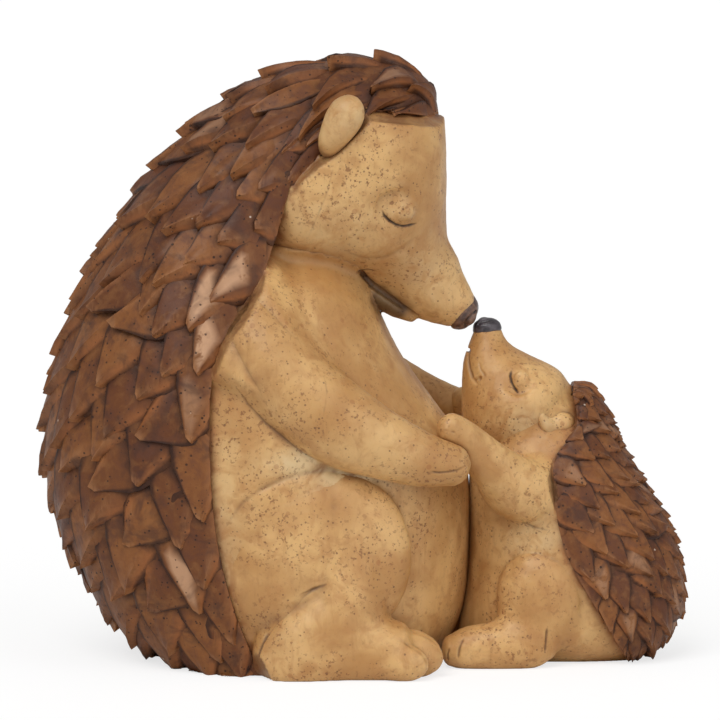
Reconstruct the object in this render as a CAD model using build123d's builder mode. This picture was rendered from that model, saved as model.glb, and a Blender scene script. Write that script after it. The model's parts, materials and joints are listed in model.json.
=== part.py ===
"""A seated hedgehog and its young, nose to nose: a cast resin ornament that stands on its own feet.

X runs from the parent's back (-) to the young one's back (+), Y is across, and Z is up from the shelf.
Both animals are symmetric about the plane Y = 0, so each left-hand piece is the right-hand one mirrored.
Every piece is seated on what carries it: where the two are bonded, one is cut to the surface of the other.
"""

from build123d import *
from math import copysign, cos, hypot, radians, sin
import os

# Overall sizes, in millimetres
parent_length = 84.0
parent_height = 119.0
parent_width = 62.0
young_length = 41.5
young_width = 35.0
belly_gap = 0.5
# How far below the seat of the parent's nose the young one ends, so that the two noses meet
nose_drop = 2.8

# Quills: each is a rhombus on the coat whose lower corner stands proud as a blunt tip
parent_quill_rows = 30
parent_quill_columns = 12
parent_quill_lift = 2.4
parent_quill_reach = 1.6
parent_quill_tip = 1.6
young_quill_rows = 22
young_quill_columns = 10
young_quill_lift = 1.2
young_quill_reach = 0.9
young_quill_tip = 0.8

# Heads: half height and half width of the skull, then the nose that sits on the end of the muzzle
parent_skull_height = 19.5
parent_skull_width = 20.0
parent_jaw_width = 7.0
parent_nose_radius = 3.6
parent_nose_length = 3.4
young_skull_height = 11.0
young_skull_width = 11.4
young_nose_radius = 2.6
young_nose_length = 2.2

# Ears: half length, half width and half thickness of the lobe, and the hollow in the young one's.
# How far the middle of the parent's lobe is sunk below the widest part of its skull.
parent_ear_length = 6.2
parent_ear_width = 3.9
parent_ear_thickness = 2.7
parent_ear_sink = 0.15
young_ear_length = 4.4
young_ear_width = 3.6
young_ear_thickness = 2.8
young_ear_hollow = 2.6

# Limbs: radius at the shoulder and half sizes of the hand, then those of the thigh, the shank and the foot
parent_shoulder_radius = 9.2
parent_hand_length = 5.6
parent_hand_height = 4.1
parent_hand_thickness = 3.3
parent_thigh_length = 18.0
parent_thigh_height = 17.5
parent_thigh_bulge = 7.5
parent_shank_length = 16.0
parent_shank_height = 8.0
parent_shank_bulge = 7.0
parent_foot_height = 7.4
parent_foot_width = 6.6
young_shoulder_radius = 5.9
young_hand_length = 4.0
young_hand_height = 2.9
young_hand_thickness = 2.5
young_thigh_length = 8.8
young_thigh_height = 10.4
young_thigh_bulge = 5.4
young_foot_height = 4.6
young_foot_width = 4.4

# The left arms aren't quite level with the right ones: the parent's is higher, the young one's further back
parent_left_arm_rise = 4.5
young_left_arm_shift = 3.0

# Larger than any piece, for the blocks that cut
overrun = 2.0 * parent_height

parent_back_x = -0.75 * parent_length
young_belly_x = parent_back_x + parent_length + belly_gap

os.makedirs("parts", exist_ok=True)


def parent_point(along_share, up_share, side_share=0.0):
    """A place on the parent: shares of its length from the back, of its height, and of its half width."""
    x = parent_back_x + along_share * parent_length
    return Vector(x, -side_share * parent_width / 2, up_share * parent_height)


def young_point(along_share, up_share, side_share=0.0):
    """A place on the young one: shares of its length from the belly, of its height, and of its half width."""
    x = young_belly_x + along_share * young_length
    return Vector(x, -side_share * young_width / 2, up_share * young_height)


def tilted_plane(point, tilt):
    """A plane whose normal leans by the tilt above the X axis. Its x axis is level, across the animal."""
    return Plane(origin=point, x_dir=(0, 1, 0), z_dir=(cos(radians(tilt)), 0, sin(radians(tilt))))


def side_plane(point, tilt):
    """A plane seen from the right-hand side, whose x axis leans by the tilt above the X axis."""
    return Plane(origin=point, x_dir=(cos(radians(tilt)), 0, sin(radians(tilt))), z_dir=(0, -1, 0))


def full_oval(half_width, half_height, fullness):
    """Points round a section that is an ellipse at a fullness of 2, and squarer as the fullness grows."""
    points = []
    for turn in range(0, 360, 24):
        across, up = cos(radians(turn)), sin(radians(turn))
        x = half_width * copysign(abs(across) ** (2 / fullness), across)
        y = half_height * copysign(abs(up) ** (2 / fullness), up)
        points.append((x, y))
    return points


def limb_planes(points):
    """A plane at each point, square to the line through them, with its x axis level and across the limb."""
    planes = []
    for index, point in enumerate(points):
        before = points[max(index - 1, 0)]
        after = points[min(index + 1, len(points) - 1)]
        direction = (after - before).normalized()
        planes.append(Plane(origin=point, x_dir=direction.cross(Vector(0, 0, 1)), z_dir=direction))
    return planes


def moved_plane(plane, point):
    """The plane with its origin moved to the point."""
    return Plane(origin=point, x_dir=plane.x_dir, z_dir=plane.z_dir)


class QuillCoat:
    """The coat of one animal: half-elliptic ribs span it between its lower edges, over the spine.

    Neighbouring ribs are half a quill out of step, so that the quills overlap like shingles.
    """

    def __init__(self, edge_points, spine_points, rows, columns, lift, reach, tip_width, ear, ear_length):
        edge = Spline(*edge_points, mode=Mode.PRIVATE)
        spine = Spline(*spine_points, mode=Mode.PRIVATE)
        self.rims = [edge @ (row / rows) for row in range(rows + 1)]
        self.crests = [spine @ (row / rows) for row in range(rows + 1)]
        self.rows = rows
        self.columns = columns
        self.lift = lift
        self.reach = reach
        self.tip_width = tip_width
        self.ear = ear
        self.ear_length = ear_length

    def on_rib(self, row, turn):
        """A point on a rib, and the way out there: turn -90 is the right edge, 0 the spine, 90 the left."""
        middle = Vector(self.rims[row].X, 0, self.rims[row].Z)
        rise = self.crests[row] - middle
        half_width = abs(self.rims[row].Y)
        up, over = cos(radians(turn)), sin(radians(turn))
        point = middle + rise * up + Vector(0, half_width * over, 0)
        outward = rise * (up / rise.length**2) + Vector(0, over / half_width, 0)
        return point, outward.normalized()

    def turns(self, row):
        """Where the corners of the quills lie along a rib."""
        step = 180 / self.columns
        if row % 2 == 0:
            return [step * column - 90 for column in range(self.columns + 1)]
        return [-90, *[step * (column + 0.5) - 90 for column in range(self.columns)], 90]

    def quill(self, row, top, left, right, bottom, outward):
        """The faces of one quill: two facets that meet in a keel, and the undercut of its blunt tip.

        The quills lie flatter along the brow, round the ear and just above the shelf.
        """
        along = (bottom - (left + right) * 0.5).normalized()
        across = (right - left).normalized() * (self.tip_width / 2)
        from_ear = (Vector(bottom.X, -abs(bottom.Y), bottom.Z) - self.ear).length / self.ear_length
        clear = min(1.0, bottom.Z / (3 * self.lift), (row + 1) / 4, max(0.0, from_ear - 1.0))
        tip = bottom + along * (self.reach * clear) + outward * (self.lift * (0.3 + 0.7 * clear))
        tip_left, tip_right = tip - across, tip + across
        tip_left.Z, tip_right.Z = max(0.0, tip_left.Z), max(0.0, tip_right.Z)
        faces = [(left, bottom, tip_left), (tip_left, bottom, tip_right), (tip_right, bottom, right)]
        if top is None:
            return faces + [(left, tip_left, right), (tip_left, tip_right, right)]
        return faces + [(top, left, tip_left), (top, tip_left, tip_right), (top, tip_right, right)]

    def shell(self):
        """The faces that close the coat: its quills, its bare rims, its two ends and the bonded wall."""
        ribs = [[self.on_rib(row, turn) for turn in self.turns(row)] for row in range(self.rows + 1)]
        loops = [[point for point, _ in ribs[0]], [point for point, _ in ribs[-1]]]
        for row in range(self.rows):
            odd = row % 2
            loops.append((ribs[row][0][0], ribs[row + 1][0][0], ribs[row + 1][-1][0], ribs[row][-1][0]))
            for column in range(odd, self.columns):
                left, right = ribs[row][column][0], ribs[row][column + 1][0]
                bottom, outward = ribs[row + 1][column + 1 - odd]
                top = ribs[row - 1][column + 1 - odd][0] if row else None
                loops += self.quill(row, top, left, right, bottom, outward)
            if odd:
                for end, inner in ((0, 1), (-1, -2)):
                    loops.append((ribs[row - 1][end][0], ribs[row][inner][0], ribs[row][end][0]))
                    loops.append((ribs[row][end][0], ribs[row][inner][0], ribs[row + 1][end][0]))
        last = ribs[self.rows]
        for column in range(self.columns):
            loops.append((ribs[self.rows - 1][column + 1][0], last[column][0], last[column + 1][0]))
        return Shell([Face(Wire.make_polygon(loop, close=True)) for loop in loops])

    def outline(self):
        """The side view of all that lies behind the bonded wall, whose place the coat takes."""
        wall = [(rim.X, rim.Z) for rim in self.rims]
        crest = self.crests[0]
        run_x, run_z = crest.X - wall[0][0], crest.Z - wall[0][1]
        stretch = overrun / hypot(run_x, run_z)
        front = (wall[0][0] + run_x * stretch, wall[0][1] + run_z * stretch)
        back_x = wall[-1][0] + copysign(overrun, self.crests[self.rows // 2].X - wall[-1][0])
        return [front, *wall, (back_x, wall[-1][1]), (back_x, 2 * overrun), (front[0], 2 * overrun)]


# The parent's coat. Spine: shares of length and height, from the brow over the back to the shelf.
# Rim: the same on the right-hand side, with shares of the skull's half width on the head, and of the
# body's half width below.
parent_spine_shares = [
    (0.935, 0.889), (0.914, 0.944), (0.755, 0.987), (0.545, 0.959), (0.381, 0.879), (0.213, 0.733),
    (0.094, 0.573), (0.034, 0.425), (0.034, 0.284), (0.070, 0.205), (0.119, 0.132), (0.190, 0.060), (0.292, 0.0),
]
parent_head_rim_shares = [(0.755, 0.905, 0.713), (0.680, 0.848, 0.822), (0.600, 0.790, 0.930), (0.557, 0.710, 1.023)]
parent_body_rim_shares = [
    (0.523, 0.642, 0.74), (0.434, 0.544, 0.89), (0.404, 0.390, 0.985), (0.419, 0.228, 0.985), (0.470, 0.085, 0.92),
    (0.521, 0.0, 0.87),
]
parent_rim = [parent_point(along, up) - Vector(0, parent_skull_width * side, 0)
              for along, up, side in parent_head_rim_shares]
parent_rim += [parent_point(*shares) for shares in parent_body_rim_shares]
parent_ear_shares = (0.700, 0.886)
parent_ear_tilt = 56.0
parent_ear_seat = parent_point(*parent_ear_shares) - Vector(0, parent_skull_width - parent_ear_sink, 0)
parent_quills = QuillCoat(
    parent_rim,
    [parent_point(*shares) for shares in parent_spine_shares],
    parent_quill_rows,
    parent_quill_columns,
    parent_quill_lift,
    parent_quill_reach,
    parent_quill_tip,
    parent_ear_seat,
    parent_ear_length,
)

with BuildPart() as parent_coat:
    add(Solid(parent_quills.shell()))
parent_coat.part.label = "parent_coat"

with BuildPart() as parent_coat_room:
    with BuildSketch(Plane.XZ):
        with BuildLine():
            Polyline(*parent_quills.outline(), close=True)
        make_face()
    extrude(amount=overrun, both=True)

# The parent's head: where its sections lie, the tilt of each, shares of the skull's half height and width,
# and how full the section is
parent_head_shares = [
    (0.634, 0.866, -49.0, 1.02, 0.96, 2.8), (0.744, 0.777, -49.0, 1.12, 1.00, 2.6),
    (0.825, 0.677, -63.0, 0.565, 0.66, 2.2), (0.8875, 0.629, -49.0, 0.405, 0.43, 2.0),
    (0.920, 0.6005, -47.0, 0.328, 0.335, 2.0), (0.974, 0.574, -32.0, 0.193, 0.188, 2.0),
]
parent_nose_shares = parent_head_shares[-1][:2]
parent_nose_tilt = parent_head_shares[-1][2]

with BuildPart() as parent_upper_head:
    for along, up, tilt, height_share, width_share, fullness in parent_head_shares:
        half_width, half_height = parent_skull_width * width_share, parent_skull_height * height_share
        with BuildSketch(tilted_plane(parent_point(along, up), tilt)):
            with BuildLine():
                Spline(*full_oval(half_width, half_height, fullness), periodic=True)
            make_face()
    loft()

# The lower jaw: a flat tongue from the throat to a small chin, with shares of its half width at the throat
parent_jaw_shares = [(0.702, 0.618, 1.0), (0.770, 0.604, 0.80), (0.824, 0.578, 0.56), (0.861, 0.560, 0.28)]
jaw_flatness = 0.52
parent_jaw_points = [parent_point(along, up) for along, up, _ in parent_jaw_shares]

with BuildPart() as parent_jaw:
    for plane, (_, _, width_share) in zip(limb_planes(parent_jaw_points), parent_jaw_shares):
        with BuildSketch(plane):
            Ellipse(parent_jaw_width * width_share, parent_jaw_width * width_share * jaw_flatness)
    loft()

with BuildPart() as parent_head:
    add(parent_upper_head.part)
    add(parent_jaw.part)
    add(parent_coat_room.part, mode=Mode.SUBTRACT)
parent_head.part.label = "parent_head"

# The parent's ear: a rounded lobe on the side of the head, over the coat's edge
with BuildPart() as parent_lobe:
    Sphere(1)
    scale(by=(parent_ear_length, parent_ear_width, parent_ear_thickness))

with BuildPart() as parent_ear_right:
    with Locations(side_plane(parent_ear_seat, parent_ear_tilt)):
        add(parent_lobe.part)
    add(parent_upper_head.part, mode=Mode.SUBTRACT)
parent_ear_right.part.label = "parent_ear_right"

# A nose: shares of its length, and of its radius there, from the flat seat to the blunt end
nose_shares = [(0.0, 0.985), (0.45, 0.97), (0.80, 0.72), (1.0, 0.34)]

with BuildPart() as parent_nose:
    nose_seat = tilted_plane(parent_point(*parent_nose_shares), parent_nose_tilt)
    for length_share, radius_share in nose_shares:
        with BuildSketch(nose_seat.offset(parent_nose_length * length_share)):
            Circle(parent_nose_radius * radius_share)
    loft()
parent_nose.part.label = "parent_nose"

young_height = parent_point(*parent_nose_shares).Z - nose_drop

# The parent's trunk, in level sections: height, its front and middle along the length, and its half width
parent_body_shares = [
    (0.0, 0.925, 0.545, 0.82), (0.070, 0.978, 0.540, 0.88), (0.140, 0.994, 0.535, 0.93), (0.215, 1.0, 0.535, 0.965),
    (0.290, 0.996, 0.530, 0.98), (0.375, 0.960, 0.525, 0.975), (0.490, 0.845, 0.515, 0.935),
    (0.589, 0.775, 0.525, 0.80), (0.640, 0.720, 0.545, 0.60), (0.665, 0.650, 0.560, 0.30),
]

with BuildPart() as parent_trunk:
    for up, front, middle, side in parent_body_shares:
        with BuildSketch(Plane(parent_point(middle, up))):
            Ellipse(parent_length * (front - middle), parent_width / 2 * side)
    loft()

with BuildPart() as parent_body:
    add(parent_trunk.part)
    add(parent_coat_room.part, mode=Mode.SUBTRACT)
    add(parent_upper_head.part, mode=Mode.SUBTRACT)
    add(parent_jaw.part, mode=Mode.SUBTRACT)
parent_body.part.label = "parent_body"

# The parent's arm: places from the shoulder to the wrist, radius as a share of the shoulder's, and flatness
parent_arm_shares = [
    (0.555, 0.560, 0.52, 0.90, 1.0), (0.608, 0.486, 0.79, 1.0, 1.0), (0.692, 0.422, 0.89, 0.91, 1.0),
    (0.800, 0.379, 0.89, 0.73, 0.95), (0.905, 0.353, 0.84, 0.55, 0.90),
]
parent_hand_shares = (0.950, 0.346, 0.81)
parent_arm_planes = limb_planes([parent_point(*shares[:3]) for shares in parent_arm_shares])

with BuildPart() as parent_hand:
    Sphere(1)
    scale(by=(parent_hand_thickness, parent_hand_height, parent_hand_length))

with BuildPart() as parent_arm:
    for plane, (_, _, _, radius_share, flatness) in zip(parent_arm_planes, parent_arm_shares):
        with BuildSketch(plane):
            Ellipse(parent_shoulder_radius * radius_share * flatness, parent_shoulder_radius * radius_share)
    loft()
    with Locations(moved_plane(parent_arm_planes[-1], parent_point(*parent_hand_shares))):
        add(parent_hand.part)

with BuildPart() as parent_arm_right:
    add(parent_arm.part)
    add(parent_trunk.part, mode=Mode.SUBTRACT)
    add(parent_coat_room.part, mode=Mode.SUBTRACT)
    add(parent_upper_head.part, mode=Mode.SUBTRACT)
parent_arm_right.part.label = "parent_arm_right"

with BuildPart() as parent_far_arm:
    with Locations((0, 0, parent_left_arm_rise)):
        add(parent_arm.part.mirror(Plane.XZ))

with BuildPart() as parent_arm_left:
    add(parent_far_arm.part)
    add(parent_trunk.part, mode=Mode.SUBTRACT)
    add(parent_coat_room.part, mode=Mode.SUBTRACT)
    add(parent_upper_head.part, mode=Mode.SUBTRACT)
parent_arm_left.part.label = "parent_arm_left"

# The parent's foot, in sections from heel to toe: place, then shares of its half height and half width
parent_foot_shares = [
    (0.510, 0.040, 0.30, 0.40), (0.535, 0.044, 0.66, 0.72), (0.600, 0.048, 0.92, 0.92), (0.760, 0.046, 0.94, 1.0),
    (0.840, 0.040, 0.80, 1.0), (0.890, 0.034, 0.58, 0.86), (0.913, 0.031, 0.42, 0.62), (0.926, 0.030, 0.20, 0.28),
]
parent_foot_side = 0.86
parent_thigh_shares = (0.632, 0.192, 0.80)
parent_shank_shares = (0.655, 0.076, 0.887)
parent_shank_tilt = 45.0

with BuildPart() as parent_shank:
    Sphere(1)
    scale(by=(parent_shank_length, parent_shank_height, parent_shank_bulge))

with BuildPart() as parent_lower_leg:
    for along, up, height_share, width_share in parent_foot_shares:
        with BuildSketch(tilted_plane(parent_point(along, up, parent_foot_side), 0)):
            Ellipse(parent_foot_width * width_share, parent_foot_height * height_share)
    loft()
    with Locations(side_plane(parent_point(*parent_shank_shares), parent_shank_tilt)):
        add(parent_shank.part)
    split(bisect_by=Plane.XY, keep=Keep.TOP)

with BuildPart() as parent_thigh:
    Sphere(1)
    scale(by=(parent_thigh_length, parent_thigh_bulge, parent_thigh_height))

with BuildPart() as parent_leg_right:
    with Locations(parent_point(*parent_thigh_shares)):
        add(parent_thigh.part)
    add(parent_lower_leg.part)
    add(parent_trunk.part, mode=Mode.SUBTRACT)
    add(parent_coat_room.part, mode=Mode.SUBTRACT)
    add(parent_arm.part, mode=Mode.SUBTRACT)
parent_leg_right.part.label = "parent_leg_right"

# The young one's coat, head, nose and trunk, laid out like the parent's
young_spine_shares = [
    (0.475, 0.827), (0.549, 0.815), (0.604, 0.758), (0.660, 0.672), (0.755, 0.551), (0.872, 0.432),
    (0.946, 0.332), (0.976, 0.214), (0.949, 0.106), (0.860, 0.030), (0.800, 0.0),
]
young_edge_shares = [
    (0.427, 0.786, 0.46), (0.398, 0.709, 0.57), (0.359, 0.627, 0.71), (0.366, 0.548, 0.86),
    (0.386, 0.429, 0.97), (0.455, 0.300, 1.0), (0.545, 0.200, 1.0), (0.635, 0.105, 0.92), (0.700, 0.035, 0.74),
    (0.728, 0.0, 0.45),
]
young_ear_shares = (0.360, 0.735, 0.745)
young_ear_tilt = 74.0
young_hollow_shares = (0.322, 0.735, 0.88)
young_quills = QuillCoat(
    [young_point(*shares) for shares in young_edge_shares],
    [young_point(*shares) for shares in young_spine_shares],
    young_quill_rows,
    young_quill_columns,
    young_quill_lift,
    young_quill_reach,
    young_quill_tip,
    young_point(*young_ear_shares),
    young_ear_length,
)

with BuildPart() as young_coat:
    add(Solid(young_quills.shell()))
young_coat.part.label = "young_coat"

with BuildPart() as young_coat_room:
    with BuildSketch(Plane.XZ):
        with BuildLine():
            Polyline(*young_quills.outline(), close=True)
        make_face()
    extrude(amount=overrun, both=True)

young_head_shares = [
    (0.235, 0.660, 112.0, 0.86, 0.80), (0.195, 0.759, 115.0, 1.0, 1.0), (0.130, 0.839, 112.0, 0.75, 0.78),
    (0.082, 0.898, 104.0, 0.50, 0.50), (0.066, 0.938, 98.0, 0.34, 0.33),
]
young_nose_shares = (0.065, 0.979)
young_nose_tilt = 96.0

with BuildPart() as young_upper_head:
    for along, up, tilt, height_share, width_share in young_head_shares:
        with BuildSketch(tilted_plane(young_point(along, up), tilt)):
            Ellipse(young_skull_width * width_share, young_skull_height * height_share)
    with BuildSketch(tilted_plane(young_point(*young_nose_shares), young_nose_tilt)):
        Circle(young_nose_radius)
    loft()

with BuildPart() as young_head:
    add(young_upper_head.part)
    add(young_coat_room.part, mode=Mode.SUBTRACT)
young_head.part.label = "young_head"

# The young one's ear: a lobe that is hollowed towards its face
with BuildPart() as young_lobe:
    Sphere(1)
    scale(by=(young_ear_length, young_ear_width, young_ear_thickness))

with BuildPart() as young_ear_right:
    with Locations(side_plane(young_point(*young_ear_shares), young_ear_tilt)):
        add(young_lobe.part)
    with Locations(young_point(*young_hollow_shares)):
        Sphere(young_ear_hollow, mode=Mode.SUBTRACT)
    add(young_upper_head.part, mode=Mode.SUBTRACT)
young_ear_right.part.label = "young_ear_right"

with BuildPart() as young_nose:
    nose_seat = tilted_plane(young_point(*young_nose_shares), young_nose_tilt)
    for length_share, radius_share in nose_shares:
        with BuildSketch(nose_seat.offset(young_nose_length * length_share)):
            Circle(young_nose_radius * radius_share)
    loft()
young_nose.part.label = "young_nose"

young_body_shares = [
    (0.0, -0.05, 0.43, 0.52), (0.04, -0.067, 0.43, 0.76), (0.10, -0.065, 0.43, 0.87), (0.17, -0.045, 0.43, 0.92),
    (0.27, -0.025, 0.44, 0.95),
    (0.38, -0.022, 0.44, 0.94), (0.53, -0.018, 0.42, 0.84), (0.65, 0.0, 0.38, 0.66), (0.72, 0.060, 0.33, 0.46),
]

with BuildPart() as young_trunk:
    for up, front, middle, side in young_body_shares:
        with BuildSketch(Plane(young_point(middle, up))):
            Ellipse(young_length * (middle - front), young_width / 2 * side)
    loft()

with BuildPart() as young_body:
    add(young_trunk.part)
    add(young_coat_room.part, mode=Mode.SUBTRACT)
    add(young_upper_head.part, mode=Mode.SUBTRACT)
    add(parent_trunk.part, mode=Mode.SUBTRACT)
young_body.part.label = "young_body"

# The young one's arm reaches over the parent's, and its hand lies on the parent's wrist
young_arm_shares = [
    (0.325, 0.510, 0.55, 0.98, 1.0), (0.193, 0.540, 0.86, 0.96, 1.0), (0.067, 0.610, 1.04, 0.76, 1.0),
    (-0.053, 0.690, 1.22, 0.53, 0.90),
]
young_hand_shares = (-0.111, 0.722, 1.29)
young_arm_planes = limb_planes([young_point(*shares[:3]) for shares in young_arm_shares])

with BuildPart() as young_hand:
    Sphere(1)
    scale(by=(young_hand_thickness, young_hand_height, young_hand_length))

with BuildPart() as young_arm:
    for plane, (_, _, _, radius_share, flatness) in zip(young_arm_planes, young_arm_shares):
        with BuildSketch(plane):
            Ellipse(young_shoulder_radius * radius_share * flatness, young_shoulder_radius * radius_share)
    loft()
    with Locations(moved_plane(young_arm_planes[-1], young_point(*young_hand_shares))):
        add(young_hand.part)

with BuildPart() as young_arm_right:
    add(young_arm.part)
    add(young_trunk.part, mode=Mode.SUBTRACT)
    add(young_coat_room.part, mode=Mode.SUBTRACT)
    add(young_upper_head.part, mode=Mode.SUBTRACT)
    add(parent_arm.part, mode=Mode.SUBTRACT)
    add(parent_trunk.part, mode=Mode.SUBTRACT)
young_arm_right.part.label = "young_arm_right"

with BuildPart() as young_arm_left:
    with Locations((young_left_arm_shift, 0, 0)):
        add(young_arm.part.mirror(Plane.XZ))
    add(young_trunk.part, mode=Mode.SUBTRACT)
    add(young_coat_room.part, mode=Mode.SUBTRACT)
    add(young_upper_head.part, mode=Mode.SUBTRACT)
    add(parent_far_arm.part, mode=Mode.SUBTRACT)
    add(parent_trunk.part, mode=Mode.SUBTRACT)
young_arm_left.part.label = "young_arm_left"

young_foot_shares = [
    (0.345, 0.055, 0.30, 0.40), (0.315, 0.058, 0.72, 0.75), (0.220, 0.062, 1.0, 0.95), (0.060, 0.060, 1.0, 1.0),
    (-0.050, 0.055, 0.88, 1.0), (-0.105, 0.050, 0.68, 0.86), (-0.135, 0.046, 0.46, 0.60), (-0.148, 0.044, 0.20, 0.28),
]
young_foot_side = 0.86
young_thigh_shares = (0.315, 0.200, 0.76)

with BuildPart() as young_foot:
    for along, up, height_share, width_share in young_foot_shares:
        with BuildSketch(tilted_plane(young_point(along, up, young_foot_side), 180)):
            Ellipse(young_foot_width * width_share, young_foot_height * height_share)
    loft()
    split(bisect_by=Plane.XY, keep=Keep.TOP)

with BuildPart() as young_thigh:
    Sphere(1)
    scale(by=(young_thigh_length, young_thigh_bulge, young_thigh_height))

with BuildPart() as young_leg_right:
    with Locations(young_point(*young_thigh_shares)):
        add(young_thigh.part)
    add(young_foot.part)
    add(young_trunk.part, mode=Mode.SUBTRACT)
    add(young_coat_room.part, mode=Mode.SUBTRACT)
    add(young_arm.part, mode=Mode.SUBTRACT)
young_leg_right.part.label = "young_leg_right"

middle_pieces = [
    parent_coat, parent_head, parent_nose, parent_body, young_coat, young_head, young_nose, young_body,
]
arms = [parent_arm_right, parent_arm_left, young_arm_right, young_arm_left]
right_pieces = [parent_leg_right, parent_ear_right, young_leg_right, young_ear_right]
for piece in middle_pieces + arms + right_pieces:
    export_step(piece.part, f"parts/{piece.part.label}.step")

for right in right_pieces:
    with BuildPart() as left:
        add(right.part)
        mirror(about=Plane.XZ, mode=Mode.REPLACE)
    left.part.label = right.part.label.replace("right", "left")
    export_step(left.part, f"parts/{left.part.label}.step")
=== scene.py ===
"""The look of the hedgehog ornament: sculpted skins, carved quill coats and their washed paint,
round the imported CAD.

Shapes are worked out in millimetres, as fields of distance on a grid, and turned into meshes in metres.
X runs from the parent's back to the young one's back, -Y is the side that faces the photo, and Z is up.
"""

import functools
import itertools
import json
import math

import bmesh
import bpy
import numpy as np
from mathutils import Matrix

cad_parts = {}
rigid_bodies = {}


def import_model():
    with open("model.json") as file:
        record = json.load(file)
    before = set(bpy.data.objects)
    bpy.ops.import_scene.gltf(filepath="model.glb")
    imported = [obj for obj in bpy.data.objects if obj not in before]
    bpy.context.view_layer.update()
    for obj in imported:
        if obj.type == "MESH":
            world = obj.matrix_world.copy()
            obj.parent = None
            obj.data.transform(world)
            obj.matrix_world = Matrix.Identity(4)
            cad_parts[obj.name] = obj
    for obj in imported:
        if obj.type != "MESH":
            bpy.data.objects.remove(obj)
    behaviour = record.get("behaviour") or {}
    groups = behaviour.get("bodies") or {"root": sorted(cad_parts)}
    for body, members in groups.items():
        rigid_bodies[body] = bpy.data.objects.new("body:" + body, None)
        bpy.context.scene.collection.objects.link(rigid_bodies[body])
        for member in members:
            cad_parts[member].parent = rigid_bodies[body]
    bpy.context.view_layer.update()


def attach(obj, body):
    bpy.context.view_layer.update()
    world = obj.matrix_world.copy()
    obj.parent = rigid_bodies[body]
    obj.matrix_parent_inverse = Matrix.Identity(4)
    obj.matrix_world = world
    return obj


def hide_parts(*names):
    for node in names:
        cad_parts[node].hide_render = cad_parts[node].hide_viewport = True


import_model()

import openvdb
from mathutils import Vector

coarse = 1.0
mm = 0.001
dice = np.random.default_rng(7)

# The photo's camera

photo_tilt = math.radians(6.0)
photo_distance = 1000.0
photo_pixel = 0.195
photo_height = 58.06
photo_middle = (363.0, 360.0)
photo_width = 720


def seen(px, py, y):
    """x and z, in mm, of what the photo shows at a pixel, where it lies at a depth y."""
    z = photo_height
    for _ in range(4):
        depth = photo_distance + y * math.cos(photo_tilt) - (z - photo_height) * math.sin(photo_tilt)
        up = (photo_middle[1] - py) * photo_pixel * depth / photo_distance
        z = photo_height + (up - y * math.sin(photo_tilt)) / math.cos(photo_tilt)
    return (px - photo_middle[0]) * photo_pixel * depth / photo_distance, z


# The same named sizes as the solids

parent_length, parent_height, parent_half = 84.0, 119.0, 31.0
young_length, young_height, young_half = 41.5, 65.506, 17.5
parent_back, young_belly = -63.0, 21.5


def parent(along, up, side=0.0):
    return np.array([parent_back + along * parent_length, -side * parent_half, up * parent_height])


def young(along, up, side=0.0):
    return np.array([young_belly + along * young_length, -side * young_half, up * young_height])


# Curves and lofts

def spline(points, count):
    """Points along a natural cubic curve through the given ones, even in chord length."""
    points = np.asarray(points, float)
    if points.ndim == 1:
        points = points[:, None]
    steps = np.maximum(np.linalg.norm(np.diff(points, axis=0), axis=1), 1e-6)
    knots = np.concatenate([[0.0], np.cumsum(steps)])
    return cubic(knots, points, np.linspace(0, knots[-1], count))


def cubic(knots, points, where):
    """A natural cubic curve with a value at each knot, read at the places asked for."""
    n = len(points)
    steps = np.diff(knots)
    matrix = np.zeros((n, n))
    right = np.zeros_like(points)
    matrix[0, 0] = matrix[-1, -1] = 1
    for i in range(1, n - 1):
        matrix[i, i - 1:i + 2] = steps[i - 1], 2 * (steps[i - 1] + steps[i]), steps[i]
        right[i] = 6 * ((points[i + 1] - points[i]) / steps[i] - (points[i] - points[i - 1]) / steps[i - 1])
    bend = np.linalg.solve(matrix, right)
    i = np.clip(np.searchsorted(knots, where, side="right") - 1, 0, n - 2)
    h = steps[i][:, None]
    a = (knots[i + 1] - where)[:, None] / h
    b = 1 - a
    curve = (a**3 - a) * bend[i] + (b**3 - b) * bend[i + 1]
    return a * points[i] + b * points[i + 1] + curve * h**2 / 6


def unit(v):
    return v / np.maximum(np.linalg.norm(v, axis=-1, keepdims=True), 1e-9)


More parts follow.
